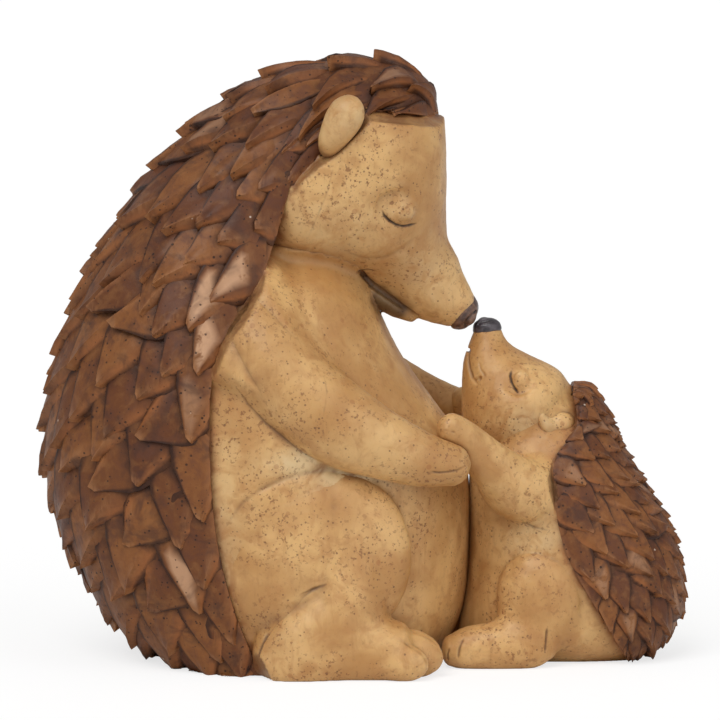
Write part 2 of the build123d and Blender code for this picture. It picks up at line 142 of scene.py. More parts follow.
def loft(centres, axes, halves, around=64, steps=8, round_start=0.0, round_end=0.0):
    """A closed skin over ellipse-like sections. axes gives each section's two directions; halves its half
    sizes along them and its fullness, 2 for an ellipse. The ends are flat, or rounded by a share."""
    count = (len(centres) - 1) * steps + 1
    knots = np.arange(len(centres), dtype=float)
    where = np.linspace(0, len(centres) - 1, count)
    middle = cubic(knots, np.asarray(centres, float), where)
    first = unit(cubic(knots, np.asarray([a for a, _ in axes], float), where))
    second = cubic(knots, np.asarray([b for _, b in axes], float), where)
    second = unit(second - first * (second * first).sum(1)[:, None])
    size = cubic(knots, np.asarray(halves, float), where)
    forward = unit(np.cross(first, second))
    if ((middle[-1] - middle[0]) * forward[count // 2]).sum() < 0:
        forward = -forward
    rings = []

    def ring(k, shrink=1.0, push=0.0):
        turn = np.linspace(0, 2 * np.pi, around, endpoint=False)
        power = 2 / size[k, 2]
        c, s = np.cos(turn), np.sin(turn)
        u = np.sign(c) * np.abs(c)**power * size[k, 0] * shrink
        v = np.sign(s) * np.abs(s)**power * size[k, 1] * shrink
        rings.append(middle[k] + forward[k] * push + u[:, None] * first[k] + v[:, None] * second[k])

    bends = (80, 60, 40, 20)
    if round_start:
        reach = round_start * size[0, :2].min()
        for turn in bends:
            ring(0, math.cos(math.radians(turn)), -reach * math.sin(math.radians(turn)))
    for k in range(count):
        ring(k)
    if round_end:
        reach = round_end * size[-1, :2].min()
        for turn in reversed(bends):
            ring(count - 1, math.cos(math.radians(turn)), reach * math.sin(math.radians(turn)))
    points = np.concatenate(rings + [rings[0].mean(0)[None], rings[-1].mean(0)[None]])
    quads, triangles = [], []
    total = len(rings)
    for k in range(total - 1):
        for i in range(around):
            j = (i + 1) % around
            quads.append((k * around + i, k * around + j, (k + 1) * around + j, (k + 1) * around + i))
    for i in range(around):
        j = (i + 1) % around
        triangles.append((total * around, j, i))
        triangles.append((total * around + 1, (total - 1) * around + i, (total - 1) * around + j))
    return points, quads, triangles


def limb(places, radii, flats, **more):
    """A loft along a line of places, with sections square to it."""
    places = np.asarray(places, float)
    axes = []
    for i in range(len(places)):
        direction = unit(places[min(i + 1, len(places) - 1)] - places[max(i - 1, 0)])
        across = unit(np.cross(direction, (0, 0, 1)))
        axes.append((across, np.cross(across, direction)))
    return loft(places, axes, [(r * f, r, 2.0) for r, f in zip(radii, flats)], **more)


def tilted(sections, at, half_width, half_height, **more):
    """A loft over sections that each lean by a tilt above the X axis."""
    axes, centres, halves = [], [], []
    for along, up, tilt, height_share, width_share, fullness in sections:
        t = math.radians(tilt)
        centres.append(at(along, up))
        axes.append(((0, 1, 0), (-math.sin(t), 0, math.cos(t))))
        halves.append((half_width * width_share, half_height * height_share, fullness))
    return loft(centres, axes, halves, **more)


def mirrored(shape):
    points, quads, triangles = shape
    return points * (1, -1, 1), [q[::-1] for q in quads], [t[::-1] for t in triangles]


def moved(shape, by):
    return shape[0] + np.asarray(by, float), shape[1], shape[2]


# Fields of distance

class Space:
    """A block of space cut into voxels. A field is an array of distances in mm, below zero inside."""

    def __init__(self, low, high, voxel):
        self.voxel = voxel * coarse
        self.first = np.floor(np.array(low) / self.voxel).astype(int)
        last = np.ceil(np.array(high) / self.voxel).astype(int)
        self.shape = tuple(int(n) for n in last - self.first + 1)
        axes = [((first + np.arange(size)) * self.voxel).astype(np.float32)
                for first, size in zip(self.first, self.shape)]
        self.x, self.y, self.z = axes[0][:, None, None], axes[1][None, :, None], axes[2][None, None, :]

    def solid(self, shape, reach=4.0):
        points, quads, triangles = shape
        grid = openvdb.FloatGrid.createLevelSetFromPolygons(
            np.ascontiguousarray(points, np.float32), triangles=np.array(triangles, np.uint32).reshape(-1, 3),
            quads=np.array(quads, np.uint32).reshape(-1, 4),
            transform=openvdb.createLinearTransform(voxelSize=self.voxel), halfWidth=reach / self.voxel)
        field = np.empty(self.shape, np.float32)
        grid.copyToArray(field, ijk=tuple(int(n) for n in self.first))
        return field

    def ellipsoid(self, centre, radii, tilt=0.0):
        """An ellipsoid whose first axis leans by the tilt above X."""
        t = math.radians(tilt)
        x, y, z = (axis - np.float32(place) for axis, place in zip((self.x, self.y, self.z), centre))
        a = x * math.cos(t) + z * math.sin(t)
        c = z * math.cos(t) - x * math.sin(t)
        inner = np.sqrt((a / radii[0])**2 + (y / radii[1])**2 + (c / radii[2])**2)
        outer = np.sqrt((a / radii[0]**2)**2 + (y / radii[1]**2)**2 + (c / radii[2]**2)**2)
        return (inner * (inner - 1) / np.maximum(outer, 1e-4)).astype(np.float32)

    def line(self, places, radii):
        """A round bar along a line of places."""
        best = np.full(self.shape, 9.0, np.float32)
        places = np.asarray(places, float)
        radii = np.broadcast_to(radii, len(places))
        for p, q, r, s in zip(places[:-1], places[1:], radii[:-1], radii[1:]):
            bounds = ((min(p[i], q[i]) - 6, max(p[i], q[i]) + 6) for i in range(3))
            part = tuple(
                slice(*np.clip([int(low / self.voxel) - first, int(high / self.voxel) - first], 0, size))
                for (low, high), first, size in zip(bounds, self.first, self.shape))
            x, y, z = self.x[part[0]] - p[0], self.y[:, part[1]] - p[1], self.z[:, :, part[2]] - p[2]
            d = q - p
            t = np.clip((x * d[0] + y * d[1] + z * d[2]) / max((d * d).sum(), 1e-9), 0, 1)
            far = np.sqrt((x - t * d[0])**2 + (y - t * d[1])**2 + (z - t * d[2])**2) - (r + (s - r) * t)
            best[part] = np.minimum(best[part], far)
        return best

    def read(self, field, points):
        """The field's value at each point."""
        spot = np.clip(points / self.voxel - self.first, 0, np.array(self.shape) - 1.001)
        base = spot.astype(int)
        part = spot - base
        value = 0.0
        for corner in itertools.product((0, 1), repeat=3):
            weight = np.where(corner, part, 1 - part).prod(1)
            value = value + weight * field[tuple((base + corner).T)]
        return value

    def mesh(self, field):
        """The field's skin, as points and quads."""
        inside = np.argwhere(field < self.voxel)
        low = np.maximum(inside.min(0) - 2, 0)
        high = np.minimum(inside.max(0) + 3, self.shape)
        part = field[low[0]:high[0], low[1]:high[1], low[2]:high[2]]
        grid = openvdb.FloatGrid(float(4 * self.voxel))
        grid.copyFromArray(np.ascontiguousarray(np.clip(part, -4 * self.voxel, 4 * self.voxel)))
        points, quads = grid.convertToQuads(0.0)
        return (points + low + self.first) * self.voxel, quads.astype(int)

    def surface(self, field, px, py, guess=20.0):
        """The point of a field's skin that the photo shows at a pixel, or None, from a guess of its depth."""
        y = -guess
        column = np.arange(-48.0, 4.0, 0.1)
        for _ in range(4):
            x, z = seen(px, py, y)
            places = np.stack([np.full(len(column), x), column, np.full(len(column), z)], 1)
            inside = np.nonzero(self.read(field, places) < 0)[0]
            if len(inside) == 0:
                return None
            y = column[inside[0]]
        return np.array([x, y, z])

    def trace(self, field, pixels, guess=30.0):
        """The places on the field's skin where the photo shows a line of pixels."""
        places = (self.surface(field, px, py, guess) for px, py in pixels)
        return np.array([place for place in places if place is not None])


def soft(a, b, reach):
    """The two fields joined, with a fillet of that reach."""
    gap = np.maximum(reach - np.abs(a - b), 0) / np.maximum(reach, 1e-3)
    return np.minimum(a, b) - gap * gap * reach * 0.25


def cut(a, b, reach=0.4):
    """The first field without the second, with a rounded edge."""
    return -soft(-a, b, reach)


def joined(*fields):
    """All of the fields, with sharp creases between."""
    return functools.reduce(np.minimum, fields)


def blurred(field, size):
    """The field, smoothed twice over a box that reaches that many voxels each way."""
    for axis in range(3):
        for _ in range(2):
            pad = [(0, 0)] * 3
            pad[axis] = (size + 1, size)
            total = np.cumsum(np.pad(field, pad, mode="edge"), axis=axis, dtype=np.float64)
            count = field.shape[axis]
            upper = np.take(total, np.arange(2 * size + 1, 2 * size + 1 + count), axis=axis)
            lower = np.take(total, np.arange(0, count), axis=axis)
            field = ((upper - lower) / (2 * size + 1)).astype(np.float32)
    return field


def step(value, low, high):
    t = np.clip((value - low) / (high - low), 0, 1)
    return t * t * (3 - 2 * t)


def ripple(points, length, seed, count=9):
    """Smooth unevenness from -1 to 1, with waves of about that length in mm."""
    roll = np.random.default_rng(seed)
    total = np.zeros(len(points))
    for _ in range(count):
        way = unit(roll.normal(size=3)) * 2 * np.pi / (length * roll.uniform(0.6, 1.5))
        total += np.sin(points @ way + roll.uniform(0, 6.28))
    return total / math.sqrt(count) * 0.7


def from_line(points, places):
    """The distance of each point from a line of places, and how far along the line, from 0 to 1."""
    best = np.full(len(points), 99.0)
    along = np.zeros(len(points))
    places = np.asarray(places, float)
    lengths = np.concatenate([[0], np.cumsum(np.linalg.norm(np.diff(places, axis=0), axis=1))])
    for i, (p, q) in enumerate(zip(places[:-1], places[1:])):
        d = q - p
        t = np.clip((points - p) @ d / max((d * d).sum(), 1e-9), 0, 1)
        far = np.linalg.norm(points - p - t[:, None] * d, axis=1)
        nearer = far < best
        best = np.where(nearer, far, best)
        along = np.where(nearer, (lengths[i] + t * (lengths[i + 1] - lengths[i])) / lengths[-1], along)
    return best, along


# Pieces

collection = bpy.context.scene.collection
stroke_reach = 1.6


def refined(points, quads, strokes, rounds):
    """The mesh with smaller faces near carved strokes, in one or two rounds of halving."""
    carved = [stroke for stroke in strokes if stroke[2] > 0]
    if not carved:
        return points, quads.tolist()
    mesh = bmesh.new()
    verts = [mesh.verts.new(p) for p in points]
    for quad in quads:
        mesh.faces.new([verts[i] for i in quad])
    mesh.verts.ensure_lookup_table()
    for reach in (stroke_reach, stroke_reach * 0.5)[:rounds]:
        mesh.verts.index_update()
        places = np.array([v.co for v in mesh.verts])
        near = np.zeros(len(places), bool)
        for line, width, *_ in carved:
            near |= from_line(places, line)[0] < reach * max(1.0, width / 0.45)
        edges = [e for e in mesh.edges if near[e.verts[0].index] and near[e.verts[1].index]]
        bmesh.ops.subdivide_edges(mesh, edges=edges, cuts=1, use_grid_fill=True)
    mesh.verts.index_update()
    points = np.array([v.co for v in mesh.verts])
    faces = [[v.index for v in f.verts] for f in mesh.faces]
    mesh.free()
    return points, faces


def build(name, points, faces, material, values, replaces, sharp=None):
    """A finished piece: its mesh in metres, its painted values, its material, its place under the root body,
    and the CAD parts it hides.
    """
    mesh = bpy.data.meshes.new(name)
    mesh.from_pydata((points * mm).tolist(), [], faces)
    mesh.validate()
    for key, value in values.items():
        layer = mesh.attributes.new(key, "FLOAT", "POINT")
        layer.data.foreach_set("value", np.clip(value, 0, 1).astype(np.float32))
    mesh.shade_smooth()
    if sharp:
        mesh.set_sharp_from_angle(angle=math.radians(sharp))
    piece = bpy.data.objects.new(name, mesh)
    collection.objects.link(piece)
    mesh.materials.append(material)
    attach(piece, "root")
    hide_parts(*replaces)


class Animal:
    """One animal's space, with the field of everything in it for its paint: wash and wear, painted shade and
    painted highlight.
    """

    def __init__(self, space, everything, coat, unit_size):
        self.space = space
        self.coat = coat
        self.unit = unit_size
        voxel = space.voxel
        fine = max(1, round(0.55 * unit_size / voxel))
        broad = max(2, round(1.7 * unit_size / voxel))
        self.fine = blurred(everything, fine)
        self.broad = blurred(everything, broad)

    def skin(self, name, field, material, replaces, slot, strokes=(), wave=0.10, painted=None):
        """Meshes a field, carves its fine strokes and ripples, and paints its values.
        A stroke is (places, width, depth, darkness of its ink); a stroke with no depth carves nothing and is
        a band of painted shade."""
        strokes = [stroke for stroke in strokes if len(stroke[0]) > 1]
        points, quads = self.space.mesh(field)
        points, faces = refined(points, quads, strokes, 2 if self.space.voxel > 0.4 else 1)
        outward = self.outward(field, points)
        points = points - outward * self.space.read(field, points)[:, None] * 0.9
        waves = ripple(points, 7 * self.unit, 3) * 0.6 + ripple(points, 2.6 * self.unit, 5) * 0.4
        lift = wave * self.unit * waves * (points[:, 2] > 0.4)
        ink_and_shade = np.zeros(len(points))
        groove = np.zeros(len(points))
        for line, width, depth, dark in strokes:
            far, along = from_line(points, line)
            taper = np.clip(np.minimum(along, 1 - along) * 6 + 0.25, 0, 1)
            shape = np.exp(-(far / (width * (0.45 + 0.55 * taper)))**2)
            groove = np.maximum(groove, shape * depth * taper)
            ink_and_shade = np.maximum(ink_and_shade, shape * dark * taper)
        points = points + outward * (lift - groove)[:, None]
        points[:, 2] = np.maximum(points[:, 2], 0)
        fine, broad, coat_gap = (self.space.read(f, points) for f in (self.fine, self.broad, self.coat))
        # Darker in fine hollows: wash with painted shade. Darker in broad hollows: painted shade. Lighter on
        # rounded parts: wear with a painted highlight. Ink: painted lines and bands of painted shade.
        values = {
            "wash_and_crevice_shade": step(-fine, 0.02 * self.unit, 0.30 * self.unit),
            "shade": step(-broad, 0.05 * self.unit, 1.1 * self.unit),
            "wear_and_highlight": step(fine, 0.03 * self.unit, 0.22 * self.unit),
            "band": step(2.6 * self.unit - coat_gap, 0, 2.6 * self.unit),
            "ink_and_shade": ink_and_shade,
            "pale": np.zeros(len(points)) if painted is None else painted(points),
        }
        build(name, points, faces, material, values, replaces)

    def outward(self, field, points):
        steps = np.eye(3) * self.space.voxel
        return unit(np.stack([self.space.read(field, points + s) - self.space.read(field, points - s)
                              for s in steps], 1))


# Materials

def colour(r, g, b):
    """Linear colour from 0-255 values as seen."""
    return tuple((c / 255 / 12.92 if c <= 10 else ((c / 255 + 0.055) / 1.055)**2.4)
                 for c in (r, g, b)) + (1.0,)


class Nodes:
    """Short ways to add and join a material's nodes. base is the colour painted so far."""

    def __init__(self, name):
        self.material = bpy.data.materials.new(name)
        self.material.use_nodes = True
        self.tree = self.material.node_tree
        self.shader = self.tree.nodes["Principled BSDF"]
        self.place = self.tree.nodes.new("ShaderNodeTexCoord").outputs["Object"]
        self.base = None

    def join(self, value, socket):
        if isinstance(value, bpy.types.NodeSocket):
            self.tree.links.new(value, socket)
        else:
            socket.default_value = value

    def value(self, name):
        node = self.tree.nodes.new("ShaderNodeAttribute")
        node.attribute_name = name
        return node.outputs["Fac"]

    def math(self, kind, *values, clamp=False):
        node = self.tree.nodes.new("ShaderNodeMath")
        node.operation = kind
        node.use_clamp = clamp
        for value, socket in zip(values, node.inputs):
            self.join(value, socket)
        return node.outputs[0]

    def times(self, a, b, clamp=False):
        return self.math("MULTIPLY", a, b, clamp=clamp)

    def scaled(self, value, share, more):
        return self.math("MULTIPLY_ADD", value, share, more)

    def ramp(self, value, low, high):
        node = self.tree.nodes.new("ShaderNodeMapRange")
        node.interpolation_type = "SMOOTHSTEP"
        self.join(value, node.inputs["Value"])
        node.inputs["From Min"].default_value = low
        node.inputs["From Max"].default_value = high
        return node.outputs["Result"]

    def mapped(self, **inputs):
        """The place on the object, moved, turned or scaled."""
        node = self.tree.nodes.new("ShaderNodeMapping")
        for name, value in inputs.items():
            node.inputs[name].default_value = value
        self.join(self.place, node.inputs["Vector"])
        return node.outputs["Vector"]

    def noise(self, size, detail=2.0, rough=0.5, warp=0.0, seed=0.0, place=None):
        """Noise with features of about that size in mm."""
        node = self.tree.nodes.new("ShaderNodeTexNoise")
        node.noise_dimensions = "4D"
        self.join(place or self.place, node.inputs["Vector"])
        for name, value in (("W", seed), ("Scale", 1000.0 / size), ("Detail", detail), ("Roughness", rough),
                            ("Distortion", warp)):
            node.inputs[name].default_value = value
        return node.outputs["Fac"]

    def specks(self, cell, low, high, keep, seed):
        """1 in dots, in cells of a size in mm. low and high bound a dot's radius, as shares of its cell."""
        node = self.tree.nodes.new("ShaderNodeTexVoronoi")
        self.join(self.mapped(Location=seed), node.inputs["Vector"])
        node.inputs["Scale"].default_value = 1000.0 / cell
        split = self.tree.nodes.new("ShaderNodeSeparateColor")
        self.join(node.outputs["Color"], split.inputs[0])
        radius = self.scaled(split.outputs[0], high - low, low)
        dot = self.times(self.math("SUBTRACT", radius, node.outputs["Distance"]), 22.0, clamp=True)
        return self.times(dot, self.math("GREATER_THAN", keep, split.outputs[1]))

    def mix(self, amount, a, b):
        node = self.tree.nodes.new("ShaderNodeMix")
        node.data_type = "RGBA"
        for value, socket in ((amount, 0), (a, 6), (b, 7)):
            self.join(value, node.inputs[socket])
        return node.outputs[2]

    def ground(self, share, dark, light):
        self.base = self.mix(share, colour(*dark), colour(*light))

    def layer(self, mask, share, *paint):
        """Paints a colour over the base where the mask is high, at that share of its strength."""
        self.base = self.mix(self.times(mask, share), self.base, colour(*paint))

    def bump(self, height, distance, strength, after=None):
        node = self.tree.nodes.new("ShaderNodeBump")
        node.inputs["Strength"].default_value = strength
        node.inputs["Distance"].default_value = distance * mm
        self.join(height, node.inputs["Height"])
        if after is not None:
            self.join(after, node.inputs["Normal"])
        return node.outputs["Normal"]

    def finish(self, rough, normal, coat, specular):
        for name, value in (("Base Color", self.base), ("Roughness", rough), ("Normal", normal),
                            ("Coat Weight", coat), ("Coat Roughness", 0.3), ("Specular IOR Level", specular)):
            self.join(value, self.shader.inputs[name])
        return self.material


def skin_material(name, scale=1.0, specked=1.0):
    n = Nodes(name)
    n.ground(n.ramp(n.noise(16 * scale, 2.0, 0.55, 0.6), 0.36, 0.64), (186, 138, 82), (216, 173, 114))
    mottle = n.noise(4.2 * scale, 3.0, 0.6, 0.8, seed=3)
    grain = n.noise(2.6, 3.0, 0.62, 1.6, seed=7,
                    place=n.mapped(Scale=(1.0, 1.0, 0.28), Rotation=(0.3, 0.5, 0.2)))
    hair = n.noise(0.9, 2.0, 0.6, 2.0, seed=9,
                   place=n.mapped(Scale=(1.0, 1.0, 0.12), Rotation=(0.2, -0.5, 0.4)))
    n.layer(n.ramp(mottle, 0.44, 0.70), 0.55, 176, 124, 72)
    n.layer(n.ramp(grain, 0.50, 0.74), 0.30, 160, 108, 60)
    n.layer(n.ramp(hair, 0.60, 0.80), 0.22, 148, 98, 56)
    # Lighter on rounded parts: worn paint with a painted highlight.
    n.layer(n.value("wear_and_highlight"), 0.35, 226, 190, 136)
    n.layer(n.value("shade"), 0.42, 142, 94, 54)
    n.layer(n.times(n.value("band"), n.ramp(mottle, 0.25, 0.6)), 0.75, 158, 98, 54)
    # Darker in fine hollows: the paint's wash with painted shade.
    n.layer(n.times(n.value("wash_and_crevice_shade"), n.ramp(mottle, 0.15, 0.6)), 0.6, 104, 64, 38)
    n.layer(n.times(n.value("pale"), n.ramp(mottle, 0.72, 0.34)), 0.8, 220, 194, 148)
    crowd = n.times(n.ramp(n.noise(9 * scale, 2.0, 0.5, seed=13), 0.36, 0.70), specked)
    small = n.specks(0.85, 0.10, 0.29, n.scaled(crowd, 0.66, 0.10 * specked), (0.1, 0.2, 0.3))
    large = n.specks(2.3, 0.05, 0.12, n.scaled(crowd, 0.45, 0.10 * specked), (0.5, 0.1, 0.9))
    grit = n.ramp(n.noise(0.75, 2.0, 0.6, 0.4, seed=17), 0.56, 0.65)
    rust = n.specks(2.4, 0.10, 0.26, n.scaled(crowd, 0.4, 0.05), (0.7, 0.3, 0.4))
    n.layer(grit, n.scaled(crowd, 0.68, 0.10), 132, 86, 50)
    n.layer(rust, 0.35, 150, 88, 46)
    n.layer(small, 0.62, 104, 68, 42)
    n.layer(large, 0.70, 78, 50, 34)
    # Dark painted lines, and bands of painted shade under the jaw and on the throat.
    n.layer(n.value("ink_and_shade"), 1.0, 38, 24, 20)
    height = n.scaled(n.math("ADD", small, large), -0.9, n.times(grain, 0.7))
    normal = n.bump(n.noise(3.4, 2.0, 0.5, seed=21), 0.35, 0.35, n.bump(height, 0.10, 0.55))
    for name, value in (("Weight", 0.12), ("Radius", (1.0, 0.5, 0.25)), ("Scale", 0.002)):
        n.shader.inputs["Subsurface " + name].default_value = value
    return n.finish(n.scaled(mottle, 0.25, 0.36), normal, coat=0.08, specular=0.4)


def quill_material(name, scale=1.0):
    n = Nodes(name)
    tone = n.scaled(n.value("tone"), 0.55, n.times(n.noise(20 * scale, 2.0, 0.5, 0.5, seed=2), 0.45))
    n.ground(n.ramp(tone, 0.2, 0.75), (96, 54, 29), (132, 82, 43))
    mottle = n.noise(3.6 * scale, 3.0, 0.62, 0.7, seed=4)
    grain = n.noise(1.5, 3.0, 0.6, 1.5, seed=6,
                    place=n.mapped(Scale=(1.0, 1.0, 0.30), Rotation=(0.3, 0.9, 0.2)))
    n.layer(n.ramp(mottle, 0.46, 0.72), 0.6, 92, 55, 41)
    n.layer(n.ramp(mottle, 0.52, 0.34), 0.35, 142, 96, 56)
    n.layer(n.value("flank"), 0.72, 156, 96, 54)
    n.layer(n.ramp(grain, 0.52, 0.74), 0.35, 84, 52, 40)
    n.layer(n.times(n.value("edge"), n.ramp(grain, 0.30, 0.62)), 0.6, 172, 120, 78)
    n.layer(n.times(n.value("cream"), n.ramp(mottle, 0.30, 0.44)), 0.8, 208, 164, 128)
    n.layer(n.value("band"), 0.55, 150, 100, 62)
    n.layer(n.ramp(n.noise(6 * scale, 3.0, 0.65, 0.8, seed=14), 0.48, 0.70), 0.6, 66, 42, 34)
    # Darker between quills and along their borders: the paint's wash with painted shade.
    n.layer(n.times(n.value("wash_and_crevice_shade"), n.scaled(mottle, 0.8, 0.45), clamp=True), 0.95, 46, 26, 19)
    crowd = n.ramp(n.noise(7 * scale, 2.0, 0.5, seed=13), 0.36, 0.66)
    small = n.specks(0.90, 0.08, 0.30, n.scaled(crowd, 0.68, 0.14), (0.1, 0.2, 0.3))
    large = n.specks(2.0, 0.04, 0.17, n.scaled(crowd, 0.6, 0.15), (0.5, 0.1, 0.9))
    glint = n.specks(3.4, 0.0, 0.09, 0.35, (0.3, 0.8, 0.2))
    n.layer(small, 0.75, 44, 28, 23)
    n.layer(large, 0.85, 34, 22, 19)
    n.layer(glint, 0.8, 214, 196, 178)
    height = n.scaled(n.math("ADD", small, large), -0.8, grain)
    normal = n.bump(n.noise(2.4, 3.0, 0.6, seed=23), 0.35, 0.5, n.bump(height, 0.12, 0.6))
    return n.finish(n.scaled(mottle, 0.3, 0.34), normal, coat=0.05, specular=0.22)


def nose_material(name, dark, light):
    n = Nodes(name)
    mottle = n.noise(1.6, 3.0, 0.6, 0.6, seed=5)
    n.ground(n.ramp(mottle, 0.35, 0.7), dark, light)
    # Lighter on the rounded rim: worn paint with a painted highlight.
    n.layer(n.value("wear_and_highlight"), 0.5, *light)
    # Darker in the nostrils and hollows: the paint's wash with painted shade.
    n.layer(n.value("wash_and_crevice_shade"), 0.9, 24, 17, 17)
    n.layer(n.value("ink_and_shade"), 1.0, 16, 11, 12)
    return n.finish(n.scaled(mottle, 0.3, 0.22), n.bump(n.noise(0.7, 2.0, 0.6, seed=8), 0.10, 0.5),
                    coat=0.3, specular=0.5)


skin_paint = skin_material("tan_skin")
young_skin_paint = skin_material("tan_skin_young", 0.75)
ear_paint = skin_material("tan_skin_ear", 0.75, 0.15)
quill_paint = quill_material("brown_quills")
young_quill_paint = quill_material("brown_quills_young", 0.7)
parent_nose_paint = nose_material("purple_brown_nose", (66, 45, 40), (134, 100, 80))
young_nose_paint = nose_material("slate_nose", (36, 30, 34), (84, 76, 82))


# Quill coats

class Coat:
    """Half-elliptic ribs over the spine, between the two lower edges, as in the solids."""

    grid = (90, 64)

    def __init__(self, at, rim, crest, size=241):
        self.rims = spline([at(*p) for p in rim], size)
        self.crests = spline([at(*p) for p in crest], size)
        self.size = size
        rise = (self.crests - self.rims)[size // 2]
        self.way = np.sign(rise[0])
        self.facing = 1.0
        self.facing = np.sign(self.frame(np.array([0.5]), np.array([0.0]))[3][0] @ rise)

    def point(self, row, turn):
        """Points of the coat. row runs from 0, brow, to 1, shelf, and turn from -1, right, to 1, left."""
        row = np.clip(np.asarray(row, float), 0, 1) * (self.size - 1)
        turn = np.clip(np.asarray(turn, float), -1, 1) * np.pi / 2
        low = np.minimum(row.astype(int), self.size - 2)
        part = (row - low)[..., None]
        rim = self.rims[low] * (1 - part) + self.rims[low + 1] * part
        crest = self.crests[low] * (1 - part) + self.crests[low + 1] * part
        middle = rim * (1, 0, 1)
        up, over = np.cos(turn)[..., None], np.sin(turn)[..., None]
        return middle + (crest - middle) * up + np.abs(rim) * over * (0, 1, 0)

    def frame(self, row, turn):
        """Points, the ways down the rows and to the left, with their lengths, and the way out."""
        e = 0.004
        rows, turns = np.clip([row - e, row + e], 0, 1), np.clip([turn - e, turn + e], -1, 1)
        down = (self.point(rows[1], turn) - self.point(rows[0], turn)) / (rows[1] - rows[0])[..., None]
        left = (self.point(row, turns[1]) - self.point(row, turns[0])) / (turns[1] - turns[0])[..., None]
        return self.point(row, turn), down, left, unit(np.cross(down, left)) * self.facing

    def places(self):
        """The rows and turns of the closed skin's points."""
        rows, columns = self.grid
        return np.meshgrid(np.linspace(0, 1, rows), np.linspace(-1, 1, columns), indexing="ij")

    def closed(self, inset=0.0, skirt=0.0):
        """The coat without its quills, as a closed skin. A skirt carries its rims on, before the wall."""
        rows, columns = self.grid
        row, turn = self.places()
        here, _, _, out = self.frame(row, turn)
        here = here - out * inset
        if skirt:
            forward = unit((here[:, 0] + here[:, -1]) / 2 - here[:, columns // 2])[:, None] * skirt
            here = np.concatenate([here[:, :1] + forward, here, here[:, -1:] + forward], 1)
            columns += 2
        index = np.arange(rows * columns).reshape(rows, columns)
        after = np.roll(index, -1, 1)
        quads = np.stack([index[:-1], after[:-1], after[1:], index[1:]], -1).reshape(-1, 4).tolist()
        points = np.concatenate([here.reshape(-1, 3), here[[0, -1]].mean(1)])
        triangles = [(rows * columns + end, int(i), int(j))
                     for end in (0, 1) for i, j in zip(index[-end], after[-end])]
        return points, quads, triangles


def wall_field(space, coat):
    """The distance, seen from the side, from the wall that bears the coat: below zero on the coat's side."""
    wall = coat.rims[::6][:, [0, 2]]
    run = unit(coat.crests[0][[0, 2]] - wall[0])
    line = np.concatenate([[wall[0] + run * 200], wall, [wall[-1] - (0, 6)]])
    beyond = line[-1][0] + coat.way * 300
    loop = np.concatenate([line, [(beyond, line[-1][1]), (beyond, 400), (line[0][0], 400)]])
    x, z = np.broadcast_arrays(space.x[:, 0, :], space.z[0, :, :].reshape(1, -1))
    best = np.full(x.shape, 1e9)
    for p, q in zip(line[:-1], line[1:]):
        d = q - p
        t = np.clip(((x - p[0]) * d[0] + (z - p[1]) * d[1]) / (d @ d), 0, 1)
        best = np.minimum(best, (x - p[0] - t * d[0])**2 + (z - p[1] - t * d[1])**2)
    inside = np.zeros(x.shape, bool)
    for p, q in zip(loop, np.roll(loop, -1, 0)):
        crossing = (p[1] > z) != (q[1] > z)
        inside ^= crossing & (x < (q[0] - p[0]) * (z - p[1]) / (q[1] - p[1] + 1e-12) + p[0])
    return (np.sqrt(best) * np.where(inside, -1, 1)).astype(np.float32)[:, None, :]


def keep_off(space, coat, depth):
    """What a skin may not be: it dips under the coat at its wall, and ends at that depth behind the wall."""
    wall = wall_field(space, coat)
    mantle = space.solid(coat.closed(skirt=6.0))
    under = mantle + depth * (0.10 + 0.62 * step(-wall, 0.0, 0.9 * depth)) - 2.5 * np.maximum(wall, 0)
    return np.maximum(under, -(wall + depth)).astype(np.float32)


def slant_of(coat, row, turn, lean):
    """How far to turn a quill from the row's direction, so that seen from the side it leans that far
    from upright."""
    side = np.sign(turn) * min(max(abs(turn), 0.35), 0.9)
    _, down, left, _ = (a[0] for a in coat.frame(np.array([row]), np.array([side])))
    aim = np.array([coat.way * math.sin(lean), -math.cos(lean)])
    p, q = np.linalg.solve(np.array([down[[0, 2]], left[[0, 2]]]).T + np.eye(2) * 1e-3, aim)
    slant = math.atan2(q * np.linalg.norm(left), p * np.linalg.norm(down))
    return np.clip(slant, -1.45, 1.45) * float(step(abs(turn), 0.0, 0.35))**0.5


